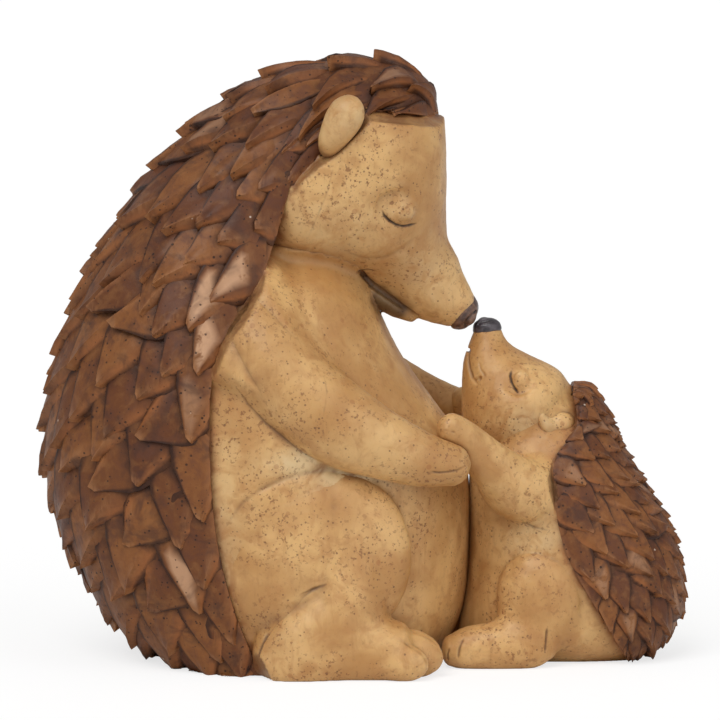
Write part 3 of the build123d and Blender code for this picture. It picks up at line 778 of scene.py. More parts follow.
class Leaf:
    """One quill: a chiselled leaf with a ridge, two facets and a blunt raised tip. u runs along it, v across.
    Its border is a skirt that sinks into the coat."""

    us = (0.0, 0.10, 0.22, 0.36, 0.50, 0.64, 0.77, 0.88, 0.96, 1.0, 1.0, 1.0)
    vs = (-1.0, -1.0, -1.0, -0.93, -0.78, -0.5, -0.25, -0.08, 0.0, 0.08, 0.25, 0.5, 0.78, 0.93, 1.0, 1.0, 1.0)
    u, v = np.meshgrid(us, vs, indexing="ij")
    flare = np.zeros(len(vs))
    flare[[0, 1, -2, -1]] = -0.10, -0.06, 0.06, 0.10

    def __init__(self, length, width, height, ridge, lean, seat, unit_size, ripple_shift, ripple_height):
        u, v = self.u, self.v
        self.ridge = ridge
        taper = np.interp(u, (0, 0.30, 0.58, 1.0), (0.80, 1.0, 0.86, 0.13))
        self.along = u * length
        self.across = (ridge + (v - ridge) * taper) * width + lean * u**2
        flank = np.where(v > ridge, (v - ridge) / (1 - ridge), (ridge - v) / (1 + ridge))
        steep = np.where((v > ridge) == (ridge > 0), 0.95, 0.36)
        gable = 1 - steep * (np.sqrt(flank**2 + 0.012) - 0.11)
        self.up = height * (0.10 + 0.90 * u**0.9) * gable - seat * (1 - u)**2
        self.up -= 0.08 * height * np.sin(np.pi * np.abs(flank))
        places = np.stack([self.along + ripple_shift[0], self.across + ripple_shift[1], 0 * u], -1)
        places = places.reshape(-1, 3)
        self.up += ripple_height * ripple(places, 3 * unit_size, 11, 5).reshape(u.shape)
        drop, sink = 0.15 * unit_size, -0.6 * unit_size
        self.across += self.flare * width * taper
        self.along[-2] += 0.10 * unit_size
        self.along[-1] -= 0.02 * length
        self.up[:, [1, -2]] -= drop
        self.up[:, [0, -1]] = sink
        self.up[-2] -= drop
        self.up[-1] = sink

    def values(self, cream):
        """Where the paint is: lit flank, worn ridge and tip, dark edge line for the wash and painted shade
        between quills, and pale patch.
        """
        u, v, ridge = self.u, self.v, self.ridge
        tip = step(u, 0.88, 1.0)
        near_ridge = np.exp(-((v - ridge) / 0.09)**2)
        patch = step(u, 0.34, 0.46) * step(-u, -0.95, -0.84) * step(-np.abs(v + ridge * 0.25), -0.52, -0.34)
        return {
            "flank": step(np.where(ridge > 0, v - ridge, ridge - v), -0.02, 0.14),
            "edge": np.clip(np.maximum(near_ridge * 0.9, tip) * step(u, 0.2, 0.8), 0, 1),
            "line": step(np.abs(v), 0.78, 0.95) * (1 - 0.7 * tip),
            "cream": cream * patch,
        }


def quill_coat(name, coat, rows, columns, lift, lean_at, unit_size, material, replaces, base_inset,
               ear, ear_room, cream_at):
    """The coat with each quill laid on it."""
    index = np.arange(Leaf.u.size).reshape(Leaf.u.shape)
    leaf_quads = np.stack([index[:-1, :-1], index[:-1, 1:], index[1:, 1:], index[1:, :-1]], -1).reshape(-1, 4)
    if coat.facing > 0:
        leaf_quads = leaf_quads[:, ::-1]
    all_points, all_faces = [], []
    values = {key: [] for key in ("tone", "flank", "edge", "cream", "band", "line")}

    def band(rim_gap):
        return step(1.2 * unit_size - rim_gap, 0, 1.2 * unit_size)

    def ear_gap(place):
        return np.linalg.norm((place[0], -abs(place[1]), place[2]) - ear)

    for row, column in itertools.product(range(rows), range(columns + 1)):
        odd = row % 2
        if column > columns - odd:
            continue
        turn = 2 * (column + 0.5 * odd) / columns - 1
        r0 = max(0.0, row / rows + dice.uniform(-0.12, 0.12) / rows)
        t0 = np.clip(turn + dice.uniform(-0.12, 0.12) / columns, -0.995, 0.995)
        here, down, left, _ = (a[0] for a in coat.frame(np.array([r0]), np.array([t0])))
        down_length, left_length = np.linalg.norm(down), np.linalg.norm(left)
        row_gap, column_gap = down_length / rows, left_length * 2 / columns
        edge_gap = min((1 - abs(t0)) * left_length, r0 * down_length + 0.5 * row_gap)
        slant = slant_of(coat, r0, t0 or 1e-6, math.radians(lean_at(here, edge_gap) + dice.uniform(-6, 6)))
        length = max(min(2.3 * row_gap, 2.6 * column_gap) * dice.uniform(0.90, 1.15), 1.8 * column_gap)
        width = 0.58 * column_gap * dice.uniform(0.92, 1.10) * (1 + 0.25 * abs(math.sin(slant)))
        height = lift * dice.uniform(0.8, 1.15) * (0.84 + 0.16 * float(step(r0, 0.05, 0.35)))
        height *= 0.45 + 0.55 * step(edge_gap, 0, 2.2 * column_gap)
        middle = here + (unit(down) * math.cos(slant) + unit(left) * math.sin(slant)) * length * 0.6
        if min(ear_gap(here), ear_gap(middle)) < ear_room:
            height *= 0.35
        height = min(height, max(0.15, here[2] / 3))
        ridge = dice.uniform(0.45, 0.68) * (1 if dice.random() < 0.93 else -1) * (1 if t0 > 0 else -1)
        lean = dice.uniform(-0.10, 0.10) * width
        seat = 0.35 * lift * float(step(edge_gap, 0.5, 4.0))
        leaf = Leaf(length, width, height, ridge, lean, seat, unit_size, (row * 7, turn * 9), 0.05 * lift)
        cos, sin = math.cos(slant), math.sin(slant)
        on_rows = np.clip(r0 + (leaf.along * cos - leaf.across * sin) / down_length, 0, 1)
        on_turns = np.clip(t0 + (leaf.along * sin + leaf.across * cos) / left_length, -1, 1)
        base, _, _, out = coat.frame(on_rows, on_turns)
        spots = base + out * (leaf.up - base_inset)[..., None]
        spots[..., 2] = np.maximum(spots[..., 2], 0.0)
        all_faces.append(leaf_quads + len(all_points) * Leaf.u.size)
        all_points.append(spots.reshape(-1, 3))
        paint = leaf.values(cream_at(middle, dice.random()))
        paint["band"] = band(np.minimum((1 - np.abs(on_turns)) * left_length, on_rows * down_length))
        paint["tone"] = np.full(spots.shape[:2], dice.random())
        for key, value in paint.items():
            values[key].append(value.ravel())
    start = len(all_points) * Leaf.u.size
    mantle_points, mantle_quads, mantle_triangles = coat.closed(inset=base_inset + 0.35 * unit_size)
    points = np.concatenate(all_points + [mantle_points])
    quads = np.concatenate(all_faces + [np.array(mantle_quads) + start]).tolist()
    triangles = (np.array(mantle_triangles) + start).tolist()
    count = len(mantle_points)
    values = {key: np.concatenate(value + [np.zeros(count)]) for key, value in values.items()}
    values["tone"][-count:] = 0.3
    row, turn = (a.ravel() for a in coat.places())
    _, down, left, _ = coat.frame(row, turn)
    down_length, left_length = np.linalg.norm(down, axis=1), np.linalg.norm(left, axis=1)
    values["band"][-count:-2] = band(np.minimum((1 - np.abs(turn)) * left_length, row * down_length))
    space = Space(points.min(0) - 3 * unit_size, points.max(0) + 3 * unit_size, 0.62 * unit_size)
    field = space.solid((points, quads, triangles), reach=3 * unit_size)
    # Darker in the hollows between quills and along each border line: the paint's wash with painted shade.
    fine, broad = (space.read(blurred(field, size), points) for size in (1, 3))
    deep = step(-fine, -0.02 * unit_size, 0.36 * unit_size) * 0.9 + step(-broad, 0.0, 0.9 * unit_size) * 0.6
    wash_and_crevice_shade = np.clip(np.maximum(deep, values.pop("line")), 0, 1)
    values["wash_and_crevice_shade"] = wash_and_crevice_shade * (1 - 0.7 * values["edge"])
    build(name, points, quads + triangles, material, values, replaces, sharp=38)


def leaning(heights, front, back, near, far):
    """How quills lean from upright: by height, beside the coat's front edge and away from it."""
    def lean(place, gap):
        share = float(step(gap, near, far))
        return np.interp(place[2], heights, front) * (1 - share) + np.interp(place[2], heights, back) * share
    return lean


# Coats, from the same shares as the solids

parent_coat = Coat(parent, [
    (0.755, 0.905, 0.46), (0.680, 0.848, 0.53), (0.600, 0.790, 0.60), (0.557, 0.710, 0.66),
    (0.523, 0.642, 0.74), (0.434, 0.544, 0.89), (0.404, 0.390, 0.985), (0.419, 0.228, 0.985),
    (0.470, 0.085, 0.92), (0.521, 0.0, 0.87),
], [
    (0.935, 0.889), (0.914, 0.944), (0.755, 0.987), (0.545, 0.959), (0.381, 0.879), (0.213, 0.733),
    (0.094, 0.573), (0.034, 0.425), (0.034, 0.284), (0.070, 0.205), (0.119, 0.132), (0.190, 0.060),
    (0.292, 0.0),
])
young_coat = Coat(young, [
    (0.460, 0.786, 0.46), (0.468, 0.709, 0.57), (0.372, 0.627, 0.71), (0.366, 0.548, 0.86),
    (0.386, 0.429, 0.97), (0.455, 0.300, 1.0), (0.545, 0.200, 1.0), (0.635, 0.105, 0.92),
    (0.700, 0.035, 0.74), (0.728, 0.0, 0.45),
], [
    (0.475, 0.827), (0.549, 0.815), (0.604, 0.758), (0.660, 0.672), (0.755, 0.551), (0.872, 0.432),
    (0.946, 0.332), (0.976, 0.214), (0.949, 0.106), (0.860, 0.030), (0.800, 0.0),
])
parent_ear_seat = parent(0.700, 0.886) - (0, 19.85, 0)
young_ear_seat = young(0.360, 0.735, 0.745)

# Pale worn quills: pixels in the photo, and how worn each is
worn_quills = ((245, 238, 0.9), (233, 276, 0.9), (212, 303, 1.0), (199, 347, 1.0), (196, 402, 0.35),
               (177, 460, 0.6), (182, 568, 0.8))
worn_depth = -28
worn_spots = [(seen(px, py, worn_depth), share) for px, py, share in worn_quills]


def cream_on_parent(place, roll):
    """Pale worn patches: on the quills where the photo shows them, and faintly on a few others."""
    best = max(share * (math.hypot(place[0] - x, place[2] - z) < 3.0) for (x, z), share in worn_spots)
    return max(best, 0.35 * float(roll < 0.05))


def cream_on_young(place, roll):
    return float(roll < 0.12) * 0.35


parent_lean = leaning((0, 12, 28, 42, 52, 62, 70, 80, 92, 105, 118),
                      (6, 14, 20, 26, 38, 52, 66, 72, 74, 80, 84),
                      (6, 24, 40, 46, 48, 48, 48, 50, 56, 66, 78), 5, 20)
young_lean = leaning((0, 4, 12, 21, 31, 41, 54), (6, 12, 20, 26, 50, 62, 72),
                     (20, 34, 48, 57, 62, 64, 66), 2, 9)
quill_coat("parent_quills", parent_coat, 20, 11, 3.2, parent_lean, 1.0, quill_paint, ["parent_coat"], 0.45,
           parent_ear_seat, 7.5, cream_on_parent)
quill_coat("young_quills", young_coat, 17, 11, 1.9, young_lean, 0.6, young_quill_paint, ["young_coat"], 0.30,
           young_ear_seat, 4.8, cream_on_young)

# What both animals' skins share

sides = (1, -1)


def level(at, sections, length, half, **more):
    """A trunk of level sections: height, front and middle along the length, half width."""
    centres = [at(middle, up) for up, front, middle, side in sections]
    halves = [(length * abs(front - middle), half * side, 2.0) for up, front, middle, side in sections]
    return loft(centres, [((1, 0, 0), (0, 1, 0))] * len(sections), halves, **more)


def foot_of(places, halves, **more):
    """A foot: sections that stand across the X axis."""
    return loft(places, [((0, 1, 0), (0, 0, 1))] * len(places), halves, **more)


def both(line, *rest):
    """A stroke and its mirror image."""
    return [(line, *rest), (line * (1, -1, 1), *rest)]


def on_side(strokes, side, shift=0.0):
    """Strokes of the right side, carried to a side and shifted."""
    return [(line * (1, side, 1) + shift, *rest) for line, *rest in strokes]


def without(field, core, depth, off_coat):
    """A piece without what lies deep inside the piece that carries it, or in the coat."""
    return np.maximum(np.maximum(field, -(core + depth)), off_coat)


def hump(points, x, z, x_spread, z_spread):
    """1 at a place in the side view, fading to 0 around it."""
    return np.exp(-((points[:, 0] - x)**2 / x_spread + (points[:, 2] - z)**2 / z_spread))


# The parent's lines in the photo, in pixels

muzzle_back = ((426.5, 203), (428.0, 240), (436.5, 264), (448.5, 284), (460.5, 303))
muzzle_radii = (4.0, 4.0, 3.6, 3.2, 2.9)
arm_upper = ((262, 262), (292, 310), (325, 358), (358, 385), (395, 412), (427, 432), (454, 444))
arm_lower = ((192, 322), (222, 372), (258, 416), (310, 458), (359, 474), (412, 486), (449, 486))
eye_pixel = (399.5, 212.0)
mouth_line = ((361, 271), (366, 278), (372, 284.5), (381, 291.5), (391, 298), (401, 305), (410, 311),
              (417, 315.5))
smile_line = ((357, 273), (361, 270), (368, 269), (376, 270.5))
lash_line = ((382.0, 210.5), (384.5, 216.0), (389.5, 221.0), (396.0, 224.8), (403.0, 226.3), (410.0, 225.2),
             (416.2, 223.6))
lid_line = ((384, 208), (389, 203.5), (397, 201), (406, 203))
face_mould_line = ((333, 168), (328, 190), (320, 210), (313, 226), (308, 238))
cheek_line = ((346, 252), (362, 258), (382, 258), (400, 250), (414, 238))
brow_line = ((345, 117), (370, 112.5), (395, 111), (420, 112.5), (444, 119))
jaw_line = ((368, 293), (378, 301), (392, 309), (407, 316))
throat_line = ((325, 280), (345, 287), (362, 297))
haunch_line = ((224, 528), (243, 502), (262, 489), (284, 479), (305, 473), (327, 470.5), (350, 474),
               (373, 487), (391, 506), (404, 526), (409, 544), (407, 566), (401, 586), (392, 604))
rear_line = ((208, 478), (211, 500), (212.5, 529), (218, 555), (225, 588), (234, 616), (244, 638))
armpit_line = ((235, 386), (247, 403), (265, 422.5), (289, 442), (310, 457), (328, 462.5), (358, 475),
               (385, 482.5))
heel_line = ((326, 584.5), (312, 590), (302, 596), (291, 608), (281, 617), (273, 626), (266, 637), (261, 647),
             (257, 660))
toe_lines = (((393, 638), (408.2, 645.3), (420.5, 653.5), (426.0, 662), (425.0, 671)),
             ((411.9, 630.5), (428.6, 639.7), (436.8, 650.8)))
arm_mould_line = ((323.2, 359.6), (323.2, 375.7), (326.8, 391.8), (324, 410), (323.2, 433), (327.7, 454.3))
finger_lines = (((430, 472), (440, 473), (449, 472), (457, 470.5), (465, 466), (471, 460)),
                ((452, 478), (462, 474.5), (470, 468)))

# The parent's skin

space = Space((-36, -37, -1.2), (26, 37, 113), 0.56)


def arm_between(uppers, lowers, depths, thicknesses):
    """An arm from its upper and lower border in the photo, at a depth and half thickness for each pair."""
    places, halves = [], []
    for upper, lower, y in zip(uppers, lowers, depths):
        (x0, z0), (x1, z1) = seen(*upper, y), seen(*lower, y)
        places.append(((x0 + x1) / 2, y, (z0 + z1) / 2))
        halves.append(math.hypot(x1 - x0, z1 - z0) / 2)
    return limb(places, halves, [t / h for t, h in zip(thicknesses, halves)], round_end=0.9)


def parent_leg(side):
    """A leg: a round thigh, a leaning shank, and a foot with three toes."""
    thigh = space.ellipsoid(parent(0.632, 0.192, 0.80) * (1, side, 1), (19.2, 7.6, 18.6))
    shank = space.ellipsoid(parent(0.655, 0.076, 0.887) * (1, side, 1), (16.0, 7.0, 8.0), tilt=45)
    places = [parent(along, up, 0.86) * (1, side, 1) for along, up in
              ((0.535, 0.044), (0.600, 0.048), (0.680, 0.047), (0.760, 0.046), (0.832, 0.040))]
    halves = [(4.6, 4.7, 2.2), (6.0, 6.7, 2.3), (6.4, 7.0, 2.3), (6.7, 6.8, 2.3), (6.5, 5.9, 2.2)]
    foot = space.solid(foot_of(places, halves, round_start=0.5, round_end=0.5))
    for tip, y, z, halves in ((12.5, 31.0, 3.5, (5.4, 2.9, 3.7)), (15.4, 26.7, 4.2, (6.6, 3.0, 4.3)),
                              (15.0, 22.3, 4.4, (6.2, 2.9, 4.1))):
        foot = soft(foot, space.ellipsoid((tip - halves[0], -side * y, z), halves, tilt=-8), 0.7)
    reach = 0.7 + 5.5 * step(space.x, -9.0, -4.0) * (1 - step(space.x, -1.0, 4.5))
    return np.maximum(soft(thigh, soft(shank, foot, 3.5), reach), -space.z)


def parent_ear(side):
    """An egg-shaped lobe, narrower at its lower end."""
    seat = parent_ear_seat * (1, side, 1)
    upper = space.ellipsoid(seat + (0.9, -0.4 * side, 1.5), (4.1, 3.1, 3.5), tilt=61.0)
    lower = space.ellipsoid(seat + (-1.0, -0.1 * side, -1.8), (3.8, 2.7, 2.8), tilt=61.0)
    root = space.ellipsoid(seat + (-2.1, 0.9 * side, -4.1), (2.6, 1.7, 1.9), tilt=61.0)
    return soft(soft(upper, lower, 2.5), root, 2.0)


def parent_skull():
    """The skull with its muzzle, whose back follows the photo, and a brow that ends in a plane."""
    head = space.solid(tilted([
        (0.634, 0.866, -49.0, 1.02, 0.96, 2.8), (0.744, 0.777, -49.0, 1.12, 1.00, 2.6),
        (0.825, 0.677, -63.0, 0.565, 0.66, 2.2), (0.8875, 0.629, -49.0, 0.405, 0.43, 2.0),
        (0.920, 0.5985, -47.0, 0.328, 0.335, 2.0), (0.975, 0.570, -32.0, 0.193, 0.188, 2.0),
    ], parent, 20.0, 19.5, around=96, steps=12, round_end=0.2))
    places = [seen(px, py, 0) for px, py in muzzle_back]
    back = space.solid(limb([(x, 0, z) for x, z in places], muzzle_radii, [1.35] * 5, round_end=0.8))
    brow_front = np.interp(space.z, (0, 76, 79.0, 82.2, 89.8, 100, 120),
                           (90, 22.0, 18.6, 17.1, 16.4, 16.2, 16.0))
    return cut(soft(head, back, 1.6), brow_front - space.x, 2.0)


def with_lids(face, eye):
    """The face with a lid over each eye and a dent round it."""
    for side in sides:
        spot = eye * (1, side, 1)
        face = cut(face, space.ellipsoid(spot + (-0.1, -1.2 * side, 0.6), (4.4, 1.10, 3.1), tilt=-20), 2.4)
        face = soft(face, space.ellipsoid(spot + (0.1, 0.62 * side, 0.4), (2.8, 1.2, 2.0), tilt=-22), 1.3)
    return face


trunk = space.solid(level(parent, [
    (0.0, 0.925, 0.545, 0.82), (0.070, 0.978, 0.540, 0.88), (0.140, 0.994, 0.535, 0.93),
    (0.215, 1.0, 0.535, 0.965), (0.290, 0.996, 0.530, 0.98), (0.375, 0.960, 0.525, 0.975),
    (0.490, 0.845, 0.515, 0.935), (0.589, 0.775, 0.525, 0.80), (0.640, 0.720, 0.545, 0.60),
    (0.665, 0.650, 0.560, 0.30),
], parent_length, parent_half, around=96, round_end=0.6))
trunk = np.maximum(trunk, -space.z)
skull = parent_skull()
jaw_places = [parent(along, up) for along, up in
              ((0.690, 0.622), (0.770, 0.604), (0.824, 0.578), (0.861, 0.560))]
jaw = space.solid(limb(jaw_places, [3.8, 3.1, 2.2, 1.15], [1.9] * 4, round_end=1.0))
jaw = soft(jaw, space.ellipsoid(parent(0.70, 0.64), (7.5, 6.0, 5.0), tilt=-30), 3.0)
coat_skin = space.solid(parent_coat.closed(inset=0.45), reach=5.0)
off_coat = keep_off(space, parent_coat, 2.5)
parent_arm_shape = arm_between(arm_upper, arm_lower, (-15.5, -22.5, -26.0, -27.5, -27.5, -26.5, -25.0),
                               (8.6, 9.0, 8.6, 7.6, 6.2, 4.9, 4.0))
far_arm_shift = np.array([0.5, 0, 5.8])
right_arm = space.solid(parent_arm_shape)
left_arm = space.solid(moved(mirrored(parent_arm_shape), far_arm_shift))
right_leg, left_leg = parent_leg(1), parent_leg(-1)
right_ear, left_ear = parent_ear(1), parent_ear(-1)
eye = space.surface(skull, *eye_pixel)
face = with_lids(skull, eye)

head = soft(face, joined(right_ear, left_ear) + 0.12, 1.8)
mouth = space.trace(joined(face, jaw), mouth_line, 9)
head = soft(head, jaw, 0.6)
for side in sides:
    head = cut(head, space.line(mouth * (1, side, 1), 0.5), 0.5)

body = trunk
haunch = space.trace(joined(trunk, right_leg), haunch_line[2:], 29)
for side in sides:
    body = cut(body, space.line(haunch * (1, side, 1) - (0, 0.9 * side, 0), 0.8), 1.7)
body = soft(body, joined(right_leg, left_leg) + 0.10, 0.6)
shoulder_reach = 7.5 * (1 - step(space.x, -22.0, -10.0)) * step(space.z, 53, 60)
armpit_reach = 2.5 * (1 - step(space.x, -14.0, 4.0)) * step(space.z, 46, 60)
body = soft(body, joined(right_arm, left_arm) + 0.10, 0.7 + shoulder_reach + armpit_reach)
throat_reach = 0.3 + 4.6 * (1 - step(space.x, -1.0, 3.0))
body = np.maximum(soft(body, head + 0.10, throat_reach), trunk - 3.4)
throat_mouth = space.trace(joined(body, head), mouth_line[:6], 9)
for side in sides:
    body = cut(body, space.line(throat_mouth * (1, side, 1), 0.5), 0.5)
everything = joined(body, head, right_ear, left_ear, right_leg, left_leg, right_arm, left_arm, coat_skin)
animal = Animal(space, everything, coat_skin, 1.0)


def pale_head(points):
    lids = np.exp(-((points[:, 0] - eye[0])**2 + (points[:, 2] - eye[2] - 0.8)**2) / 5)
    cheek, muzzle = hump(points, -6, 83, 60, 60), hump(points, 12, 75, 60, 60)
    return np.clip(cheek * 0.5 + lids * 0.6 + muzzle * 0.45, 0, 1)


def pale_body(points):
    edge = 0.4 * hump(points, -26, 30, 8, 300)
    return np.clip(1.5 * hump(points, -10, 41.6, 60, 6) + 1.2 * hump(points, -1, 37.4, 60, 8) + edge, 0, 1)


# Bands of painted shade under the jaw and on the throat: strokes with no depth.
jaw_shade = space.trace(jaw, jaw_line, 8)
throat_shade = space.trace(head, throat_line, 10)
head_strokes = (both(space.trace(face, lash_line, 15), 0.24, 0.42, 1.0)
                + both(space.trace(face, lid_line, 15), 0.35, 0.05, 0.0)
                + both(space.trace(face, smile_line, 12), 0.26, 0.22, 0.55)
                + both(space.trace(face, face_mould_line, 18), 0.14, 0.05, 0.35)
                + both(space.trace(face, cheek_line, 15), 0.5, 0.10, 0.12)
                + both(space.trace(face, brow_line, 14), 0.22, 0.12, 0.25)
                + both(mouth, 0.50, 0.25, 1.0) + both(jaw_shade, 3.2, 0.0, 0.75)
                + both(throat_shade, 3.2, 0.0, 0.28))
animal.skin("parent_head_skin", without(head, trunk, 3.0, off_coat), skin_paint, ["parent_head"], "skin",
            head_strokes, painted=pale_head)
# The top of each ear is painted paler: a painted highlight.
for name, ear in (("right", right_ear), ("left", left_ear)):
    animal.skin(f"parent_ear_{name}_skin", np.maximum(ear, -(joined(face, coat_skin) + 2.0)), ear_paint,
                ["parent_ear_" + name], "skin",
                painted=lambda points: 0.55 * np.exp(-((points[:, 2] - 107)**2) / 14))
body_strokes = (both(throat_mouth, 0.50, 0.20, 1.0)
                + both(space.trace(joined(body, head), smile_line, 12), 0.26, 0.15, 0.55)
                + both(jaw_shade, 2.8, 0.0, 0.40) + both(throat_shade, 3.6, 0.0, 0.32)
                + both(space.trace(body, rear_line), 0.22, 0.16, 0.3)
                + both(space.trace(joined(body, right_leg), haunch_line), 0.45, 0.18, 0.06)
                + both(space.trace(joined(body, right_arm), armpit_line), 0.30, 0.15, 0.3))
animal.skin("parent_body_skin", without(body, face, 2.0, off_coat), skin_paint, ["parent_body"], "skin",
            body_strokes, painted=pale_body)
arm_strokes = [(space.trace(right_arm, arm_mould_line, 34), 0.15, 0.06, 0.4),
               (space.trace(right_arm, finger_lines[0], 28), 0.24, 0.24, 0.35),
               (space.trace(right_arm, finger_lines[1], 28), 0.22, 0.10, 0.15)]
leg_strokes = [(space.trace(right_leg, heel_line, 34), 0.32, 0.35, 0.5)]
leg_strokes += [(space.trace(right_leg, line), 0.35, 0.15, 0.12) for line in toe_lines]
for name, side, arm, shift in (("right", 1, right_arm, 0.0), ("left", -1, left_arm, far_arm_shift)):
    animal.skin(f"parent_arm_{name}_skin", without(arm, joined(trunk, face), 2.5, off_coat), skin_paint,
                ["parent_arm_" + name], "skin", on_side(arm_strokes, side, shift),
                painted=lambda points: 0.1 * hump(points, 5, 45, 60, 12))
for name, side, leg in (("right", 1, right_leg), ("left", -1, left_leg)):
    animal.skin(f"parent_leg_{name}_skin", without(leg, trunk, 2.5, off_coat), skin_paint,
                ["parent_leg_" + name], "skin", on_side(leg_strokes, side),
                painted=lambda points: 0.15 * hump(points, -15, 8, 30, 40))

# Noses

def nose_piece(name, space, seat, tilt, cap, rim, lobe, lobe_reach, comma, comma_radii, edge, middle_line,
               unit_size, material, replaces):
    """A dark nose: a cap, a rolled rim, two lobes and comma nostrils. Each is placed by how far out, up and
    left of the seat it lies; a cap, rim or lobe is (place, radii)."""
    t = math.radians(tilt)
    axes = np.array([(math.cos(t), 0, math.sin(t)), (-math.sin(t), 0, math.cos(t)), (0, 1, 0)])

    def ball(place, radii):
        return space.ellipsoid(seat + np.array(place) @ axes, radii, tilt=tilt)

    nose = soft(ball(*cap), ball(*rim), 0.5)
    for side in sides:
        place, radii = lobe
        nose = soft(nose, ball((place[0], place[1], place[2] * side), radii), lobe_reach)
        nose = cut(nose, space.line(seat + np.array(comma) * (1, 1, side) @ axes, comma_radii), edge)
    if middle_line:
        nose = cut(nose, space.line(seat + np.array(middle_line) @ axes, 0.25), 0.4)
    animal = Animal(space, nose, np.full(space.shape, 9.0, np.float32), unit_size)
    animal.skin(name, nose, material, replaces, "nose", wave=0.15)


nose_piece("parent_nose_tip", Space((14, -5, 62), (25, 5, 74), 0.16), parent(0.975, 0.570), -32.0,
           ((0.9, 0, 0), (2.5, 3.55, 3.6)), ((0.6, 0, 0), (1.3, 3.75, 3.8)),
           ((2.3, -0.2, -1.7), (1.15, 1.15, 1.45)), 0.5,
           ((2.6, 1.5, -1.9), (2.5, 0.9, -2.9), (2.2, -0.6, -3.2), (2.3, -1.8, -2.5), (2.6, -2.1, -1.4)),
           (0.30, 0.42, 0.45, 0.42, 0.25), 0.35, ((3.4, 1.8, 0), (3.5, -0.4, 0), (3.0, -2.7, 0)), 0.45,
           parent_nose_paint, ["parent_nose"])

# The young one's lines in the photo, in pixels

eye_pixel = (520.0, 381.0)
mouth_line = ((476.5, 382.5), (472.5, 378.5), (469.5, 370), (468.0, 360), (468.9, 351))
mouth_corner_pixel = (477.5, 379.5)
ear_pixel, ear_fold_pixel, ear_hollow_pixel = (559.0, 427.0), (544.5, 422.0), (550.5, 415.0)
elbow_pixel, haunch_pixel = (521, 494), (575, 615)
thigh_line = ((500, 606), (501, 592), (503, 580), (507, 569), (514, 561), (524, 556.5), (537, 557),
              (550, 561), (562, 568))
lash_line = ((511.5, 370.5), (510.2, 376.0), (511.5, 382.0), (514.5, 388.0), (518.2, 393.0))
muzzle_line = ((479, 362), (481, 370), (486, 377))
neck_line = ((488, 434), (500, 447), (516, 459), (532, 464), (545, 467))
armpit_line = ((482, 493), (499, 505), (513, 517), (533, 527), (549, 530.5))
finger_lines = (((431, 421.5), (438, 418.5), (447, 418.5)), ((434, 428.5), (444, 430), (455, 432.5)))
toe_lines = (((463.5, 639), (459.5, 648), (458, 658)), ((449.5, 648.5), (447.5, 655), (448, 661)))
heel_line = ((547, 628), (546.5, 636), (546, 644), (545, 652))

# The young one's skin

space = Space((12, -28, -1.2), (57, 28, 69), 0.27)


def young_ear(side):
    """A hollowed lobe with a fold in front of it."""
    lobe = space.ellipsoid(ear_spot * (1, side, 1) - (0, 0.8 * side, 0), (3.5, 2.9, 3.1), tilt=40)
    fold = space.ellipsoid(fold_spot * (1, side, 1) - (0, 0.1 * side, 0), (2.6, 1.3, 1.4), tilt=-62)
    hollow = space.ellipsoid(hollow_spot * (1, side, 1) - (0, 2.3 * side, 0), (1.5, 1.9, 1.1), tilt=-35)
    return cut(soft(lobe, fold, 1.2), hollow, 0.7)


def young_arm(shape, side, shift):
    elbow = space.ellipsoid((elbow_spot[0] + shift, -14.2 * side, elbow_spot[1]), (7.6, 4.4, 5.0), tilt=-18)
    return soft(space.solid(shape, reach=3.0), elbow, 3.0)


def young_leg(side):
    thigh = space.ellipsoid(young(0.315, 0.200, 0.76) * (1, side, 1), (8.8, 5.4, 10.4))
    haunch = space.ellipsoid((haunch_x, -11.0 * side, 8.6), (6.6, 4.8, 6.8), tilt=-30)
    places = [young(along, up, 0.86) * (1, side, 1) for along, up in
              ((0.345, 0.055), (0.310, 0.058), (0.220, 0.062), (0.060, 0.060), (-0.050, 0.055),
               (-0.105, 0.050))]
    halves = [(2.0, 2.0, 2.2), (3.3, 3.4, 2.2), (4.2, 4.6, 2.2), (4.4, 4.6, 2.2), (4.4, 4.0, 2.2),
              (3.8, 3.1, 2.2)]
    foot = space.solid(foot_of(places, halves, round_start=0.5, round_end=0.65), reach=3.0)
    return np.maximum(soft(soft(thigh, foot, 3.0), haunch, 1.2), -space.z)


def with_eyes(face):
    """The face with a lid over each eye and a dent round it."""
    for side in sides:
        spot = eye * (1, side, 1)
        face = cut(face, space.ellipsoid(spot + (-0.3, -0.75 * side, 0.3), (2.5, 0.80, 2.9)), 1.6)
        face = soft(face, space.ellipsoid(spot + (0.2, 0.40 * side, 0.0), (1.55, 0.80, 1.85)), 0.7)
    return face


trunk = space.solid(level(young, [
    (0.0, -0.05, 0.43, 0.52), (0.04, -0.067, 0.43, 0.76), (0.10, -0.065, 0.43, 0.87),
    (0.17, -0.045, 0.43, 0.92), (0.27, -0.025, 0.44, 0.95), (0.38, -0.022, 0.44, 0.94),
    (0.53, -0.018, 0.42, 0.84), (0.65, 0.0, 0.38, 0.66), (0.72, 0.060, 0.33, 0.46),
], young_length, young_half, around=80, round_end=0.8), reach=3.0)
trunk = np.maximum(trunk, -space.z)
skull = space.solid(tilted([
    (0.235, 0.660, 112.0, 0.86, 0.80, 2.0), (0.195, 0.759, 115.0, 1.0, 1.0, 2.0),
    (0.130, 0.839, 112.0, 0.75, 0.78, 2.0), (0.082, 0.898, 104.0, 0.50, 0.50, 2.0),
    (0.066, 0.938, 98.0, 0.34, 0.33, 2.0), (0.065, 0.979, 96.0, 0.236, 0.228, 2.0),
], young, 11.4, 11.0, around=80, steps=10, round_end=0.5, round_start=0.5), reach=3.0)
coat_skin = space.solid(young_coat.closed(inset=0.3), reach=3.0)
off_coat = keep_off(space, young_coat, 1.6)
eye = space.surface(skull, *eye_pixel, guess=8)
face = with_eyes(skull)
mouth = space.trace(face, mouth_line, 4)
mouth_round = np.concatenate([mouth, (mouth * (1, -1, 1))[::-1]])
face = cut(face, space.line(mouth_round, 0.38), 0.35)
corner = space.surface(face, *mouth_corner_pixel, guess=6)
